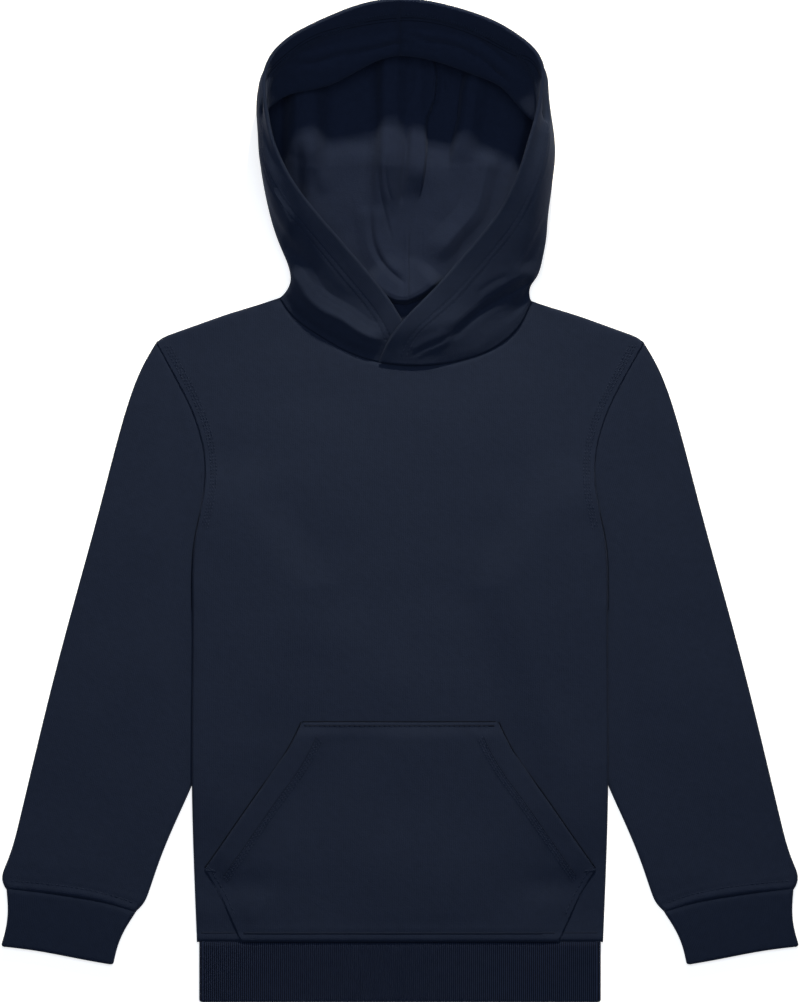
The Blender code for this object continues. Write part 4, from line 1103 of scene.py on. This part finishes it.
def sew_hood(side, outer, inner, run):
    """Coverstitch round the hood's edge: needle rows outside, looper threads inside."""
    out = unit(outer - inner)

    def at_run(table, wanted):
        """The line on a table of points at a distance from the rim."""
        return np.array([read(row, at, wanted) for row, at in zip(table, run)])

    runs = []
    for wanted in STITCH_ROWS:
        line, ups = at_run(outer, wanted), at_run(out, wanted)
        places = run_along(line)
        for start in np.arange(6.0, places[-1] - 2.0, 3.0):
            up = unit(read(ups, places, start + 1.1))
            a, b = (read(line, places, start + reach) - up * 0.14 for reach in (0.0, 2.2))
            runs.append((a, b, up))
    low, high = at_run(inner, STITCH_ROWS[0] - 0.4), at_run(inner, STITCH_ROWS[1] + 0.4)
    ups = at_run(-out, STITCH_ROWS.mean())
    places = run_along(low)
    for start in np.arange(6.0, places[-1] - 2.0, 1.5):
        up = unit(read(ups, places, start))
        a, b, c = (read(line, places, start + reach)
                   for line, reach in ((low, 0.0), (high, 0.75), (low, 1.5)))
        runs += [(a, b, up), (b, c, up)]
    stitch_mesh("hood_%s_stitching" % side, runs, 0.55, 0.35)


# ---------------------------------------------------------------- floor, light, camera

FLOOR_HALF, FLOOR_LEVEL, FLOOR_GLOW = 20.0, -0.0004, 0.72  # metres and strength
KEY_AZIMUTH, KEY_ELEVATION, KEY_SPREAD = np.radians((7.0, 35.7, 52.0))
KEY_AWAY, KEY_SIZE, KEY_POWER = 1.35, 0.08, 3.2
FILL_SIZE, FILL_POWER, FILL_HEIGHT, FILL_SHIFT = 1.1, 23.9, 2.2, 0.34
HOOD_MIDDLE = (0.0, 0.25, 0.05)
CHEST_MIDDLE = (0.0, 0.1, 0.0)
WORLD_LIGHT = 0.15
CAMERA_HEIGHT, CAMERA_Y, SENSOR = 9.0, 0.0007, 36.0


def place_object(name, data, place):
    thing = bpy.data.objects.new(name, data)
    thing.location = place
    bpy.context.scene.collection.objects.link(thing)
    return thing


def plain_floor():
    mesh = bpy.data.meshes.new("floor")
    corners = [(x * FLOOR_HALF, y * FLOOR_HALF, FLOOR_LEVEL)
               for x, y in ((-1, -1), (1, -1), (1, 1), (-1, 1))]
    mesh.from_pydata(corners, [], [(0, 1, 2, 3)])
    mesh.materials.append(new_material("pale_floor", {
        "Base Color": (0.64, 0.64, 0.64, 1.0), "Roughness": 0.9, "Specular IOR Level": 0.1,
        "Emission Color": (1.0, 1.0, 1.0, 1.0), "Emission Strength": FLOOR_GLOW})[0])
    place_object("floor", mesh, (0.0, 0.0, 0.0))


def area_light(name, place, target, size, power, colour):
    light = bpy.data.lights.new(name, "AREA")
    light.shape = "SQUARE"
    light.size = size
    light.energy = power
    light.color = colour
    thing = place_object(name, light, place)
    thing.rotation_mode = "QUATERNION"
    thing.rotation_quaternion = (Vector(target) - Vector(place)).to_track_quat("-Z", "Y")
    thing.visible_camera = False
    return light


def studio():
    away = KEY_AWAY * np.cos(KEY_ELEVATION)
    place = Vector((away * np.sin(KEY_AZIMUTH), away * np.cos(KEY_AZIMUTH),
                    KEY_AWAY * np.sin(KEY_ELEVATION))) + Vector(HOOD_MIDDLE)
    key = area_light("key", place, CHEST_MIDDLE, KEY_SIZE, KEY_POWER, (1.0, 0.86, 0.62))
    key.spread = KEY_SPREAD
    area_light("fill", (0.0, FILL_SHIFT, FILL_HEIGHT), (0.0, FILL_SHIFT + 0.001, 0.0),
               FILL_SIZE, FILL_POWER, (0.80, 0.88, 1.0))
    world = bpy.data.worlds.new("studio")
    world.use_nodes = True
    feed(world.node_tree, world.node_tree.nodes["Background"],
         {"Color": (0.76, 0.87, 1.0, 1.0), "Strength": WORLD_LIGHT})
    camera = bpy.data.cameras.new("camera")
    camera.sensor_width = SENSOR
    camera.lens = SENSOR * CAMERA_HEIGHT / (LENGTH * MILLIMETRE) * 0.998
    camera.clip_end = 100.0
    scene = bpy.context.scene
    scene.world = world
    scene.camera = place_object("camera", camera, (0.0, CAMERA_Y, CAMERA_HEIGHT))
    scene.view_settings.view_transform = "Standard"


# ---------------------------------------------------------------- the garment

front_panel, front_surface = build_front()
pieces = {"front": front_panel, "back": build_back(), "pocket": build_pocket(),
          "waistband": build_waistband()}
sew_front(front_surface)
for side, sign, lines in (("left", -1, LEFT_HOOD), ("right", 1, RIGHT_HOOD)):
    pieces["sleeve_" + side] = build_sleeve(side, sign)
    pieces["cuff_" + side] = build_cuff(side, sign)
    pieces["hood_" + side] = build_hood(side, sign, lines)
plain_floor()
studio()
